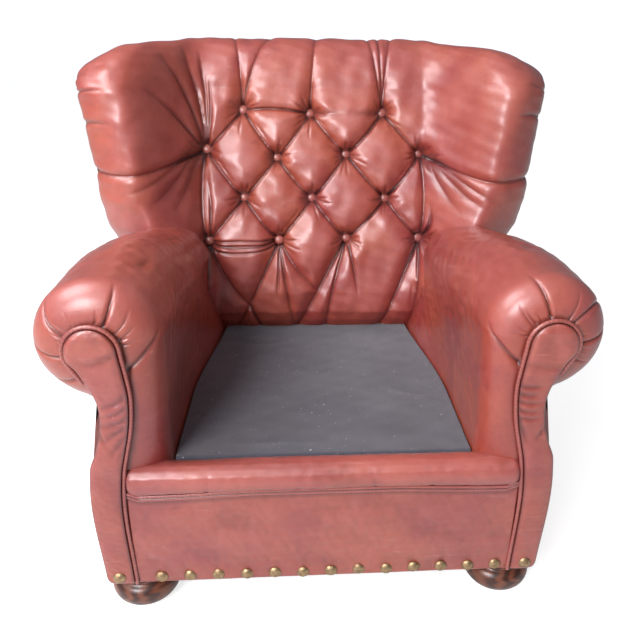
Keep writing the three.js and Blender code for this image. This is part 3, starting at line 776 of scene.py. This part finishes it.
def facingOutline(section, turn):
    # the same columns drawn in to the outline of the facing: its waist, its round head and its outer edge
    z, radius = section[..., 2], arm["headRadius"]
    head = along([[-92, 90], [-80, 66], [-73, 52], [-49, 38], [-20, radius - 1], [0, radius]], turn)
    a = np.radians(turn)
    headX, headZ = arm["rollX"] + head * np.cos(a), arm["rollZ"] + head * np.sin(a)
    wall, low = turn >= 180, turn < -arm["past"]
    x = np.where(wall, spline(arm["inner"], z) - 4, np.where(low, spline(arm["outline"], z) - 2, headX))
    return np.stack([x, section[..., 1], np.where(wall | low, z, headZ)], -1)


def makeArm(side, s):
    # sections one behind another; the first ones swell out of the facing's outline along a quarter circle:
    # outline + (section - outline) * sin(theta), at frontY + swell * (1 - cos(theta))
    nose, swell, frontY = arm["nose"], arm["swell"], arm["frontY"]
    theta = np.linspace(0, math.pi / 2, nose)
    bodyY = np.arange(frontY + swell, arm["rearY"], arm["step"])[1:]
    section, turn = armSection(np.r_[np.full(nose, frontY + swell), bodyY])
    near = facingOutline(section[:nose], turn[:nose])
    section[:nose] = near + (section[:nose] - near) * np.sin(theta)[:, None, None]
    section[:nose, :, 1] = (frontY + swell * (1 - np.cos(theta)))[:, None]
    x, y, z = section[..., 0], section[..., 1], section[..., 2]
    # unrolled leather: a round the section, b back from the facing
    model = nose + 30  # a plain section behind the swell
    a = runLength(section[model])[None] + 0 * x
    b = np.r_[theta * swell, swell * math.pi / 2 + bodyY - bodyY[0] + arm["step"]][:, None] + 0 * x

    def at(angle):
        return np.interp(-angle, -turn[model], a[model])

    deep, lines = np.zeros(x.shape), np.zeros(x.shape)
    for first, last, length, depth in arm["pleats"][side]:
        path = [(at(first), -4), (at(first * 0.75 + last * 0.25), length * 0.5), (at(last), length)]
        lip = 0.3 if first > last else 0.1
        deep += fold(a, b, path, (depth, depth * 0.7, 0), (15, 11, 7), lip=lip, gain=1.7)
        lines += fold(a, b, path, (depth * 0.7, depth * 0.6, 0.3), (4.4, 4.2, 4), gain=1.2)
    for _ in range(14):  # small gathers between the pleats
        start, length = random.uniform(at(178), at(-50)), random.uniform(16, 34)
        bend, end = start + random.uniform(-3, 3), start + random.uniform(-5, 5)
        path = [(start, 0), (bend, length / 2), (end, length)]
        deep += fold(a, b, path, (1.6, 1.0, 0), (8, 7, 5), gain=1.5)
    deep += lines
    # slack leather: long soft hollows along the arm, and a hollow with a raised seam where it meets the wing
    deep += 1.7 * waves(a * 0.7, b * 0.5, 120, 9, 11 + s) * smooth(b, 30, 120)
    deep += 0.5 * waves(a, b * 0.6, 34, 12, 21 + s) * smooth(b, 60, 120)
    for _ in range(7):
        fa, fb = at(random.uniform(60, 170)), random.uniform(130, 420)
        length, tilt = random.uniform(50, 120), random.uniform(-0.5, 0.5)
        bend = (fa + tilt * length / 2 + random.uniform(-6, 6), fb + length / 2)
        path = [(fa, fb), bend, (fa + tilt * length, fb + length)]
        deep += fold(a, b, path, (0, 2.2, 0), (10, 16, 10), gain=1.5)
    clear = wingFront(x, z) - y
    meet = np.clip(1 - clear / 42, 0, 1) ** 2 * (clear > -20) * (z < 700)
    seam = np.exp(-(((clear - 11) / 5) ** 2)) * smooth(z, 500, 540)
    deep += (4 * meet - 2.5 * seam) * (turn < 200)
    normal = normalsOf(section)
    outwards = np.stack([x - arm["rollX"], 0 * x, z - arm["rollZ"]], -1)
    normal *= np.sign((normal[nose + 60, 170] * outwards[nose + 60, 170]).sum())
    deep *= smooth(-turn, -262, -190) * (1 - smooth(-turn, 86, 96)) * smooth(b, -1, 3)
    points = section - normal * deep[..., None]
    rub = (smooth(z, 520, 640) * 0.3 + np.clip(1 - np.abs(b - 60) / 60, 0, 1) * 0.3) * (turn < 175)
    # 0.7 * seam paints a highlight along the raised seam where the arm meets the wing
    rub = np.clip(rub - deep / 18 + 0.7 * seam, 0, 1)
    # painted shade in the pleats, along the front edge and where the arm meets the wing
    paintedShade = np.clip(deep / 16, 0, 1) * 0.4 + lines / 4
    paintedShade = paintedShade + meet * 0.3 * (1 - seam) + 0.5 * np.clip(1 - b / 6, 0, 1)
    points[..., 0] *= s
    cover(f"{side}_arm_cover", "leather", f"{side}_arm", points, leather, paintedShade, rub, fill=0.7)


sides = (("left", -1), ("right", 1))
for side, s in sides:
    makeArm(side, s)
print("arms made")

facing = {
    "face": -10, "rear": 8.2, "puff": 5.5, "foot": 78, "corner": 17, "headRadius": 39, "rows": 190,
    # foot, bend and head of each fold, its depth and its width: under the head, at the waist, below it
    "folds": {
        "left": [((322, 542), (352, 516), (392, 528), 3.2, 11), ((316, 464), (334, 448), (362, 444), 4.4, 9),
                 ((318, 444), (338, 428), (360, 428), 4.2, 8), ((317, 426), (336, 410), (362, 412), 4.6, 9),
                 ((317, 408), (340, 398), (358, 380), 4.8, 9), ((319, 392), (338, 376), (350, 350), 4.4, 9),
                 ((324, 372), (334, 356), (340, 336), 3.4, 8), ((366, 400), (362, 384), (352, 372), 3.2, 8)],
        "right": [((322, 512), (352, 500), (392, 510), 1.8, 14), ((316, 470), (338, 466), (358, 471), 4.4, 7),
                  ((316, 456), (330, 448), (350, 457), 4.6, 8), ((316, 441), (338, 434), (361, 440), 4.2, 7),
                  ((317, 426), (336, 416), (352, 424), 4.6, 8), ((317, 411), (332, 404), (358, 410), 4.2, 7),
                  ((318, 404), (330, 384), (342, 356), 4.8, 9), ((368, 394), (362, 376), (350, 364), 4.8, 9)],
    },
}


def makeFacing(side, s):
    # rows of one board: foot to head, each from its inner to its outer edge with a padded, rounded face
    rows, foot, radius = facing["rows"], facing["foot"], facing["headRadius"]
    headAngle = np.linspace(0, math.pi / 2, 40)[1:]
    z = np.r_[np.linspace(foot, arm["rollZ"], rows), arm["rollZ"] + radius * np.sin(headAngle)]
    left = np.r_[spline(arm["inner"], z[:rows]), arm["rollX"] - radius * np.cos(headAngle)][:, None]
    right = np.r_[spline(arm["outline"], z[:rows]), arm["rollX"] + radius * np.cos(headAngle)][:, None]
    right -= (facing["corner"] * 0.7 * (1 - rounded((z - foot) / facing["corner"])))[:, None]
    u = np.sin(np.linspace(-1, 1, 44) * math.pi / 2)[None]
    x = (left + right) / 2 + (right - left) / 2 * u
    edge = (1 - np.abs(u)) * (right - left) / 2
    rise = facing["puff"] * np.clip((right - left) / 60, 0, 1) * rounded(edge / 16)
    zz = z[:, None] + 0 * x
    small = np.zeros(x.shape)
    for start, bend, end, depth, width in facing["folds"][side]:
        small += fold(x, zz, [start, bend, end], (depth, depth * 0.8, 0.3), width, lip=0.25, gain=1.4)
    small += 0.5 * waves(x, zz * 0.6, 46, 10, 31 + s) + 0.2 * waves(x, zz, 14, 12, 41 + s)
    brim = facing["face"] + facing["puff"] * 0.45  # where the padding starts to rise
    y = brim - rise * rounded((zz - foot) / 7) + small * np.clip(edge / 7, 0, 1)
    front = np.stack([x, y, zz], -1)
    wall = np.repeat(np.linspace(facing["rear"], brim, 5)[None, :-1], len(z), 0)
    inner = np.stack([left + 0 * wall, wall, zz[:, :4]], -1)
    outer = np.stack([right + 0 * wall, wall[:, ::-1], zz[:, :4]], -1)
    points = np.concatenate([inner, front, outer], 1)
    rim = np.concatenate([0 * wall, edge + 0 * x, 0 * wall], 1)
    # painted shade along the rims of the facing and in its folds
    paintedShade = np.clip(1 - rim / 4, 0, 1) * 0.6 + np.clip(np.pad(small, ((0, 0), (4, 4))) / 8, 0, 0.35)
    rub = np.clip(0.2 - paintedShade, 0, 1) * smooth(points[..., 2], 300, 560) + 0.04
    points[..., 0] *= s
    cover(f"{side}_facing_cover", "leather", f"{side}_arm_facing", points, frontLeather, paintedShade, rub)


welt = {"radius": 3.5, "beside": 3.6, "headRadius": 42.8, "y": -3, "pitch": 7.0, "pucker": 0.07, "cell": 1.6,
        "tail": [[388, -3, 502], [379, -2, 486]]}


def weltPath(s):
    # up the inner edge of the facing, round its head and under the roll
    z = np.linspace(72, 530, 120)
    up = np.stack([spline(arm["inner"], z) - welt["beside"], 0 * z + welt["y"], z], -1)
    a = np.linspace(math.pi, -0.5, 60)[1:]
    headX, headZ = (arm[key] + welt["headRadius"] * f(a) for key, f in (("rollX", np.cos), ("rollZ", np.sin)))
    path = np.concatenate([up, np.stack([headX, 0 * a + welt["y"], headZ], -1), welt["tail"]])
    return path * (s, 1, 1)


def makeArmWelt(side, s):
    # round cord, radius * (cos(phi), sin(phi)) about its path, nipped by a stitch every pitch mm
    path = weltPath(s)
    step = runLength(path)
    t = np.linspace(0, step[-1], int(step[-1] / welt["cell"]))
    centre = np.stack([averaged(np.interp(t, step, path[:, i]), 9) for i in range(3)], -1)
    beside = np.cross(unit(np.gradient(centre, axis=0)), (0, 1, 0))
    phi = np.linspace(0, 2 * math.pi, 15)[None, :-1, None]
    beat = np.cos(t / welt["pitch"] * 2 * math.pi)
    r = welt["radius"] * (1 - welt["pucker"] * beat**6 + 0.03 * np.sin(t / 23))[:, None, None]
    ring = beside[:, None] * np.cos(phi) * r + np.array([0, 1, 0]) * np.sin(phi) * r
    # painted shade at the stitches, a little all round, and more over the rear half of the cord
    paintedShade = ((0.5 + 0.5 * beat) ** 8 * 0.5 + 0.1)[:, None] + 0.6 * np.clip(np.sin(phi[..., 0]), 0, 1)
    points = centre[:, None] + ring
    cover(f"{side}_welt_cover", "welt_leather", f"{side}_arm_welt", points, weltLeather, paintedShade)


for side, s in sides:
    makeFacing(side, s)
    makeArmWelt(side, s)
print("facings and welts made")

front = {
    "half": 341.5, "bottom": 70, "top": 262, "rear": 7.8, "bulge": 2.4,
    "endRoll": 5, "lowRoll": 4,  # how far the leather rolls over at its ends and its lower edge
    # slack creases: start, end and depth
    "slack": [((-330, 236), (-180, 240), 1.6), ((240, 250), (331, 232), 1.8), ((-60, 226), (110, 222), 1.0),
              ((-331, 128), (-280, 122), 1.4), ((280, 150), (331, 160), 1.6)],
}
nails = {"z": 84, "pitch": 50.9, "shift": 9.4, "count": 13, "radius": 11.6, "height": 6.5}
nailSteps = (np.arange(nails["count"]) - (nails["count"] - 1) / 2) * nails["pitch"]
nailX = nails["shift"] + nailSteps


def weltSag(x):
    # the double welt hangs lower towards its ends and turns up again over the last few millimetres
    return 6.5 * smooth(np.abs(x), 90, 300) - 8 * smooth(np.abs(x), 316, 341)


def nailPulls(a, z, spots, spread, foot, top, depth):
    # two short valleys drawn up from each nail to the height top, leaning up to spread mm
    small = np.zeros(z.shape)
    for spot in spots:
        for lean in random.uniform(-spread, spread, 2):
            low, middle = (spot + lean * foot, nails["z"]), (spot + lean, nails["z"] + 24)
            small += fold(a, z, [low, middle, (spot + lean * 1.6, top)], depth, (12, 10, 7), gain=1.5)
    return small


def makePanel():
    # flat leather with a soft middle, rolled ends and lower edge, and short pulls between the nails
    half, bottom, endRoll, lowRoll = (front[key] for key in ("half", "bottom", "endRoll", "lowRoll"))
    turn = np.linspace(0, math.pi / 2, 10)
    left = -half + endRoll * (1 - np.cos(turn))
    x = np.r_[left, np.linspace(-half + endRoll + 1, half - endRoll - 1, 290), -left[::-1]][None]
    z = np.r_[bottom + lowRoll * (1 - np.cos(np.linspace(0, math.pi / 2, 8))),
              np.linspace(bottom + lowRoll + 1, front["top"], 150)][:, None]
    x, z = x + 0 * z, z + 0 * x
    endward = np.clip((half - np.abs(x)) / endRoll, 0, 1)
    lowward = np.clip((z - bottom) / (lowRoll + 2), 0, 1)
    small = 0.7 * waves(x * 0.5, z, 90, 9, 51) + 0.25 * waves(x, z, 20, 14, 52)
    small += nailPulls(x, z, nailX, 12, 0.3, 132, (1.1, 0.6, 0))
    for start, end, depth in front["slack"]:
        small += fold(x, z, [start, end], (0, depth, 0), 16, gain=1.6)
    y = 3 - 3.5 * rounded(endward) * rounded(lowward) + small * endward * lowward
    y = y - front["bulge"] * np.sin(math.pi * np.clip((z - bottom) / 200, 0, 1)) * endward
    face = np.stack([x, y, z], -1)
    rear = face[:, ::-1].copy()
    rear[..., 1] = front["rear"]
    # painted shade at the rolled ends, in the slack folds and in a strip under the double welt
    paintedShade = (1 - endward) * 0.6 + np.clip(small / 8, 0, 0.3)
    paintedShade = paintedShade + 0.4 * smooth(z, 250 - weltSag(x), 258 - weltSag(x))
    rub = np.clip(0.14 - paintedShade, 0, 1) * smooth(z, 100, 150)
    points, paintedShade, rub = (np.concatenate(pair, 1) for pair in ((face, rear), (paintedShade, 0 * x), (rub, 0 * x)))
    cover("front_panel_cover", "leather", "front_panel", points, frontLeather, paintedShade, rub)


border = {
    "half": 335, "foot": 272.4, "middle": (18, 292), "endRoll": 12, "round": 130,
    # y and z round the roll, from its sewn front edge over the top to the rear
    "profile": [[7, 272.6], [-2, 273.2], [-10, 277], [-13.4, 286], [-13.2, 296], [-10, 306], [-2, 314],
                [9, 318.4], [21, 317.6], [33, 313.4], [43, 306], [47, 300], [47.4, 290], [47, 272.8]],
}


def makeBorder():
    # padded roll along the front of the deck: a rounded profile swept across, a little loose along its length
    turn, half = np.linspace(0, 1, 70), border["half"]
    profile = np.array(border["profile"])
    places = np.linspace(0, 1, len(profile))
    profileY, profileZ = (averaged(np.interp(turn, places, profile[:, i]), 5) for i in (0, 1))
    left = -1 + 0.02 * np.sin(np.linspace(0, math.pi / 2, 8))
    x = np.r_[left, np.linspace(-0.975, 0.975, 360), -left[::-1]][:, None] * half
    endward = rounded((half - np.abs(x)) / border["endRoll"])
    a, b = x + 0 * turn, turn * border["round"] + 0 * x
    small = 0.8 * waves(a * 0.5, b, 90, 10, 61) + 0.2 * waves(a, b, 20, 12, 62)
    for spot in random.uniform(-320, 320, 9):
        lean, far = random.uniform(-8, 8), random.uniform(0.15, 0.5)
        path = [(spot, 0), (spot + lean, far * 60), (spot + lean * 1.5, far * 120)]
        small += fold(a, b, path, (1.8, 1.2, 0), (10, 9, 6), gain=1.5)
    midY, midZ = border["middle"]
    swell = 0.8 + 0.2 * endward
    y = midY + (profileY - midY) * swell
    z = np.maximum(midZ + (profileZ - midZ) * swell, border["foot"])
    out = unit(np.stack([y - midY, z - midZ], -1))
    free = smooth(turn, 0.02, 0.12) * (1 - smooth(turn, 0.72, 0.8)) * endward
    y, z = y - out[..., 0] * small * free, z - out[..., 1] * small * free
    z = z - weltSag(x) * (1 - smooth(turn, 0, 0.3))
    # painted shade along the sewn front edge, the rear edge, the ends and in the small folds
    paintedShade = np.clip(small / 8, 0, 0.3) + (1 - smooth(turn, 0, 0.08)) * 0.7 + 0.7 * smooth(turn, 0.68, 0.76)
    paintedShade = paintedShade + 0.6 * (1 - endward)
    rub = np.clip(0.42 - paintedShade, 0, 1) * smooth(turn, 0.1, 0.3)
    cover("front_border_cover", "leather", "front_border", np.stack([a, y, z], -1), frontLeather, paintedShade, rub,
          fill=0.7)


doubleWelt = {"z": 266, "y": 0.6, "lobe": 3.5, "apart": 0.84, "pitch": 7.2, "nip": 0.06}


def makeDoubleWelt():
    # two cords in one wrapper: the outline of two circles that run into each other, nipped by stitches
    lobe, past = doubleWelt["lobe"], math.asin(doubleWelt["apart"])
    apart = lobe * doubleWelt["apart"]
    upper, lower = (start + np.linspace(-past, math.pi + past, 24) for start in (0, math.pi))
    across = lobe * np.cos(np.r_[upper, lower])
    up = np.r_[apart + lobe * np.sin(upper), -apart + lobe * np.sin(lower)]
    x = np.linspace(-front["half"], front["half"], 560)[:, None]
    nip = (0.5 + 0.5 * np.cos(x / doubleWelt["pitch"] * 2 * math.pi)) ** 8
    r = 1 - doubleWelt["nip"] * nip
    z = doubleWelt["z"] + 0.5 * waves(x, 0 * x, 120, 6, 71) + up * r - weltSag(x)
    points = np.stack([x + 0 * up, doubleWelt["y"] + across * r, z], -1)
    # painted shade in the valley between the cords, along their top and bottom and at the stitches
    valley = np.exp(-((up / 1.3) ** 2)) + smooth(np.abs(up), 5.4, 6.6)
    cover("front_double_welt_cover", "welt_leather", "front_double_welt", points, weltLeather,
          0.15 * nip + 0.9 * valley)


makePanel()
makeBorder()
makeDoubleWelt()
print("front made")


def makeNails(name, centres, outward):
    # a shallow dome, radius * cos(h) wide and height * sin(h) high, copied to each place and turned outwards
    h = np.linspace(0, math.pi / 2, 9)
    a = np.linspace(0, 2 * math.pi, 29)[:-1]
    r = np.r_[nails["radius"] * 0.9, nails["radius"] * np.cos(h)[:-1], 0.4][:, None]
    up = np.r_[-1.5, nails["height"] * np.sin(h)[:-1] ** 1.2, nails["height"]][:, None]
    dome = np.stack([r * np.cos(a), r * np.sin(a), up + 0 * a], -1)
    turned = np.array(Vector(outward).to_track_quat("Z", "Y").to_matrix())
    ring, size, edge = gridFaces(len(r), len(a), True), len(r) * len(a), len(a)
    points, faces = [], []
    for count, centre in enumerate(centres):
        dent = 1 + 0.015 * waves(dome[..., 0], dome[..., 1], 12, 5, count + 3)
        points.append((dome * dent[..., None]).reshape(-1, 3) @ turned.T + centre)
        start, end = count * size, (count + 1) * size
        faces += (ring + start).tolist() + [list(range(end - edge, end)), list(range(start, start + edge))]
    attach(meshPiece(name, np.concatenate(points), faces, nailBrass), "root")


nailZ = nails["z"]
makeNails("front_nails", [(x, -0.6, nailZ + random.uniform(-1.2, 1.2)) for x in nailX], (0, -1, 0))
makeNails("facing_nails", [(-367, -11, nailZ + 11), (367, -11, nailZ + 11)], (0, -1, 0))
sideY = np.arange(36, 700, nails["pitch"])
for side, s in sides:
    spots = [(s * (arm["side"] - arm["toeIn"] * y), y, nailZ) for y in sideY]
    makeNails(f"{side}_side_nails", spots, (s, 0, 0))
makeNails("rear_nails", [(x, 719 - 0.00006 * x * x, nailZ) for x in nailSteps], (0, 1, -0.2))
print("nails made")

outside = {
    "thick": 4.5, "foot": 70, "armFront": 9, "armTop": 432, "backTop": 861, "spread": 0.96,
    "backHalf": [[70, 364], [450, 366], [574, 384], [861, 448]],
}


def rearFace(x, z):
    # the plane of the back with a slight crown, coming forward at the wings by a power of the distance out
    half = along(back["half"], z)
    forward = 105 + 95 * np.clip((z - 574) / 320, 0, 1)
    out = np.clip((np.abs(x) - 240) / np.maximum(120, half - 325), 0, 1)
    return 745 + (z - 266) * 0.2 + 8 * (1 - (x / 460) ** 2) - forward * smooth(z, 200, 560) * out**2.6


def coverPanel(name, node, outer, inward, paintedShade, rub):
    # a thin closed panel: its outer face, and the same face moved inward with its columns reversed
    points = np.concatenate([outer, outer[:, ::-1] + np.array(inward) * outside["thick"]], 1)
    paintedShade, rub = (np.concatenate([mask, mask[:, ::-1]], 1) for mask in (paintedShade, rub))
    cover(name, "leather", node, points, leather, paintedShade, rub)


def makeOutsideArm(side, s):
    # flat leather over card from the facing to the back, rounded over at its lower edge
    foot, first = outside["foot"], outside["armFront"]
    z = np.linspace(foot, outside["armTop"], 150)[:, None]
    y = first + (rearFace(366.0, z) - 5 - first) * np.linspace(0, 1, 220)[None]
    z = z + 0 * y
    small = 1.0 * waves(y * 0.5, z, 110, 9, 81 + s) + 0.3 * waves(y, z, 24, 12, 83 + s)
    small += nailPulls(y, z, sideY, 10, 0, 134, (2, 1.1, 0))
    x = spline(arm["outline"], z) - arm["toeIn"] * y
    x = x - 3 * (1 - rounded((z - foot) / 6)) - np.clip(small, -0.6, 4)
    # painted shade at the front edge and in the folds
    paintedShade = np.clip(small / 4, 0, 0.5) + 0.6 * np.clip(1 - (y - first) / 8, 0, 1)
    rub = np.clip(0.25 - paintedShade, 0, 1) * (0.4 + 0.6 * smooth(waves(y, z, 150, 6, 91), 0, 1))
    coverPanel(f"{side}_outside_arm_cover", f"{side}_outside_arm", np.stack([x * s, y, z], -1), (-s, 0, 0),
               paintedShade, rub)


def makeOutsideBack():
    # one leather panel from the base to just under the top roll, drawn slightly in between its nailed edges
    foot, top, bend = outside["foot"], outside["backTop"], math.pi / 2 * outside["spread"]
    z = np.linspace(foot, top, 216)[:, None]
    u = np.sin(np.linspace(-1, 1, 224) * bend)[None] / math.sin(bend)
    half = along(outside["backHalf"], z)
    x, z = u * half, z + 0 * u
    rim = np.minimum(np.minimum((1 - np.abs(u)) * half, z - foot), top - z)
    small = 1.5 * waves(x * 0.7, z, 170, 9, 101) + 0.35 * waves(x, z, 28, 12, 102)
    for _ in range(10):
        spot, lean = random.uniform(-330, 330), random.uniform(-60, 60)
        path = [(spot, top - 11), (spot + lean * 0.4, top - 81), (spot + lean, random.uniform(640, 740))]
        small += fold(x, z, path, (2.5, 2, 0), (18, 16, 10), gain=1.5)
    y = rearFace(x, z) + 9.6 - 4 * (1 - rounded(rim / 8)) - np.clip(small, -0.4, 4)
    # painted shade along the rims and in the folds
    paintedShade = np.clip(1 - rim / 6, 0, 1) * 0.6 + np.clip(small / 5, 0, 0.4)
    outer = np.stack([x, y, z], -1)
    coverPanel("outside_back_cover", "outside_back", outer, (0, -1, 0), paintedShade, 0.25 - paintedShade)


deck = {
    "front": 43, "rear": 587, "level": 306, "beside": 1.5, "dip": 2.4, "turnDown": 9, "cells": 200,
    "pulls": [((-250, 520), (-150, 470), (-60, 500)), ((-236, 80), (-120, 96), (20, 84)),
              ((180, 560), (120, 480), (150, 400)), ((230, 240), (160, 250), (120, 300))],
}


def makeDeck():
    # black cloth over the springs: a plane that dips a little and turns down at its sewn front edge
    first, last, cells = deck["front"], deck["rear"], deck["cells"]
    y = np.linspace(first, last, cells)[:, None]
    half = deckHalf(y) - deck["beside"]
    u = np.linspace(-1, 1, cells)[None]
    x, y = u * half, y + 0 * u
    rim = np.minimum(np.minimum((1 - np.abs(u)) * half, y - first - 5), last - y)
    z = deck["level"] - deck["dip"] * smooth(rim, 0, 90) + 0.8 * waves(x, y, 190, 7, 111) * smooth(rim, 0, 60)
    z = z + 0.25 * waves(x, y, 40, 10, 112) - deck["turnDown"] * (1 - smooth(y, first, first + 8))
    for start, bend, end in deck["pulls"]:
        z = z - fold(x, y, [start, bend, end], (0, 1.6, 0), 22, gain=1.5)
    points = np.stack([x, y, z], -1)
    piece = gridPiece("deck_cloth_cover", points, deckCloth, wrap=False, ends=False, outward=(0, 0, 1))
    keep(piece, "deck_cloth", "deck_cloth")


for side, s in sides:
    makeOutsideArm(side, s)
makeOutsideBack()
makeDeck()
print("outside panels and deck made")

bun = {
    # radius and height: sole, belly, waist, collar and neck
    "profile": [[0, 0], [40, 0], [47, 2.5], [55.6, 10], [61.4, 20], [63, 29], [61.6, 38], [56.6, 46],
                [49.5, 52], [48.5, 53.6], [51.4, 55], [52.5, 58.4], [51, 62], [45, 64.5], [43, 67],
                [41, 75.4], [20, 75.5]],
}


def makeFoot(node):
    # a smoothed profile of radius and height turned about the middle of its CAD node
    low, high = boxMm(node)
    middle = (low + high) / 2
    table = np.array(bun["profile"], float)
    t = runLength(table)
    r, h = (spline(np.stack([t, table[:, i]], -1), np.linspace(0, t[-1], 110)[1:])[:, None] for i in (0, 1))
    a = np.linspace(0, 2 * math.pi, 97)[:-1]
    points = np.stack([r * np.cos(a), r * np.sin(a), np.maximum(h, 0) + 0 * a], -1)
    piece = gridPiece(node + "_turned", points + (middle[0], middle[1], low[2]), footWood)
    keep(piece, "foot_wood", node)


for place in ("front", "rear"):
    for side, s in sides:
        makeFoot(f"{side}_{place}_foot")

finishes = {"frame_wood": frameWood, "spring_steel": springSteel, "felt_pad": feltCloth,
            "dust_cloth": dustCloth, "leather": leather, "welt_leather": weltLeather,
            "button_leather": buttonLeather, "deck_cloth": deckCloth,
            "foot_wood": footWood}
for part in frame["record"]["subparts"]:
    node = frame["nodes"][part["node"]]
    node.data.materials.clear()
    node.data.materials.append(finishes[part["material_slot"]])
print("feet made and frame finished")

camera = {"at": (-44.8, -889.7, 1001.0), "yaw": 4.08, "pitch": 22.70, "roll": 0.96, "lens": 36.02,
          "shift": (-0.0321, -0.0368)}
yaw, pitch, roll = (math.radians(camera[k]) for k in ("yaw", "pitch", "roll"))
ahead = Vector((math.sin(yaw) * math.cos(pitch), math.cos(yaw) * math.cos(pitch), -math.sin(pitch)))
flatSide = Vector((math.cos(yaw), -math.sin(yaw), 0))
flatUp = flatSide.cross(ahead)
sideways = math.cos(roll) * flatSide + math.sin(roll) * flatUp
upwards = math.cos(roll) * flatUp - math.sin(roll) * flatSide
scene = bpy.context.scene
link = scene.collection.objects.link
lens = bpy.data.cameras.new("camera")
lens.lens, lens.sensor_width = camera["lens"], 36
lens.shift_x, lens.shift_y = camera["shift"]
lens.clip_end = 60
viewer = bpy.data.objects.new("camera", lens)
link(viewer)
place = Vector(camera["at"]) * mm + Vector((0, frontY, 0))
viewer.matrix_world = Matrix.Translation(place) @ Matrix((sideways, upwards, -ahead)).transposed().to_4x4()
scene.camera = viewer

lamps = {  # place, aims at, size, watts, colour
    "frontLeft": ((-1.5, -2.6, 2.1), (0, 0, 0.5), 1.3, 102, (1.0, 0.97, 1.0)),
    "aboveLeft": ((-1.7, -0.6, 2.5), (0, 0.1, 0.5), 1.4, 62, (1.0, 0.97, 1.0)),
}
for name, (place, aim, size, watts, colour) in lamps.items():
    light = bpy.data.lights.new(name, "AREA")
    light.energy, light.size, light.color = watts, size, colour
    lamp = bpy.data.objects.new(name, light)
    lamp.location = place
    lamp.rotation_euler = (Vector(aim) - Vector(place)).to_track_quat("-Z", "Y").to_euler()
    link(lamp)

sky = bpy.data.lights.new("overcast", "SUN")
sky.energy, sky.angle = 0.85, math.radians(90)
skyLamp = bpy.data.objects.new("overcast", sky)
skyLamp.rotation_euler = (math.radians(25), math.radians(-22), 0)
link(skyLamp)

world = bpy.data.worlds.new("studio")
scene.world = world
world.use_nodes = True
backdrop = world.node_tree.nodes["Background"]
backdrop.inputs["Color"].default_value = (0.88, 0.9, 1, 1)


def brighterSeen(tree, fill, extra, strength):
    # gives fill as light, and fill + extra where the camera looks straight at it, so the ground stays white
    seen = add(tree, "ShaderNodeLightPath").outputs["Is Camera Ray"]
    tree.links.new(maths(tree, "ADD", maths(tree, "MULTIPLY", seen, extra), fill), strength)


brighterSeen(world.node_tree, 0.2, 1.0, backdrop.inputs["Strength"])

floorMesh = bpy.data.meshes.new("floor")
floorMesh.from_pydata([(-12, -12, 0), (12, -12, 0), (12, 12, 0), (-12, 12, 0)], [], [(0, 1, 2, 3)])
floor = bpy.data.objects.new("floor", floorMesh)
link(floor)
paleFloor, tree, shader = principled("paleFloor", Base_Color=(0.6, 0.6, 0.6, 1), Roughness=0.9,
                                     Emission_Color=(1, 1, 1, 1))
brighterSeen(tree, 0.15, 0.6, shader.inputs["Emission Strength"])
floorMesh.materials.append(paleFloor)
scene.view_settings.view_transform = "Standard"
print("camera, lights and floor made")
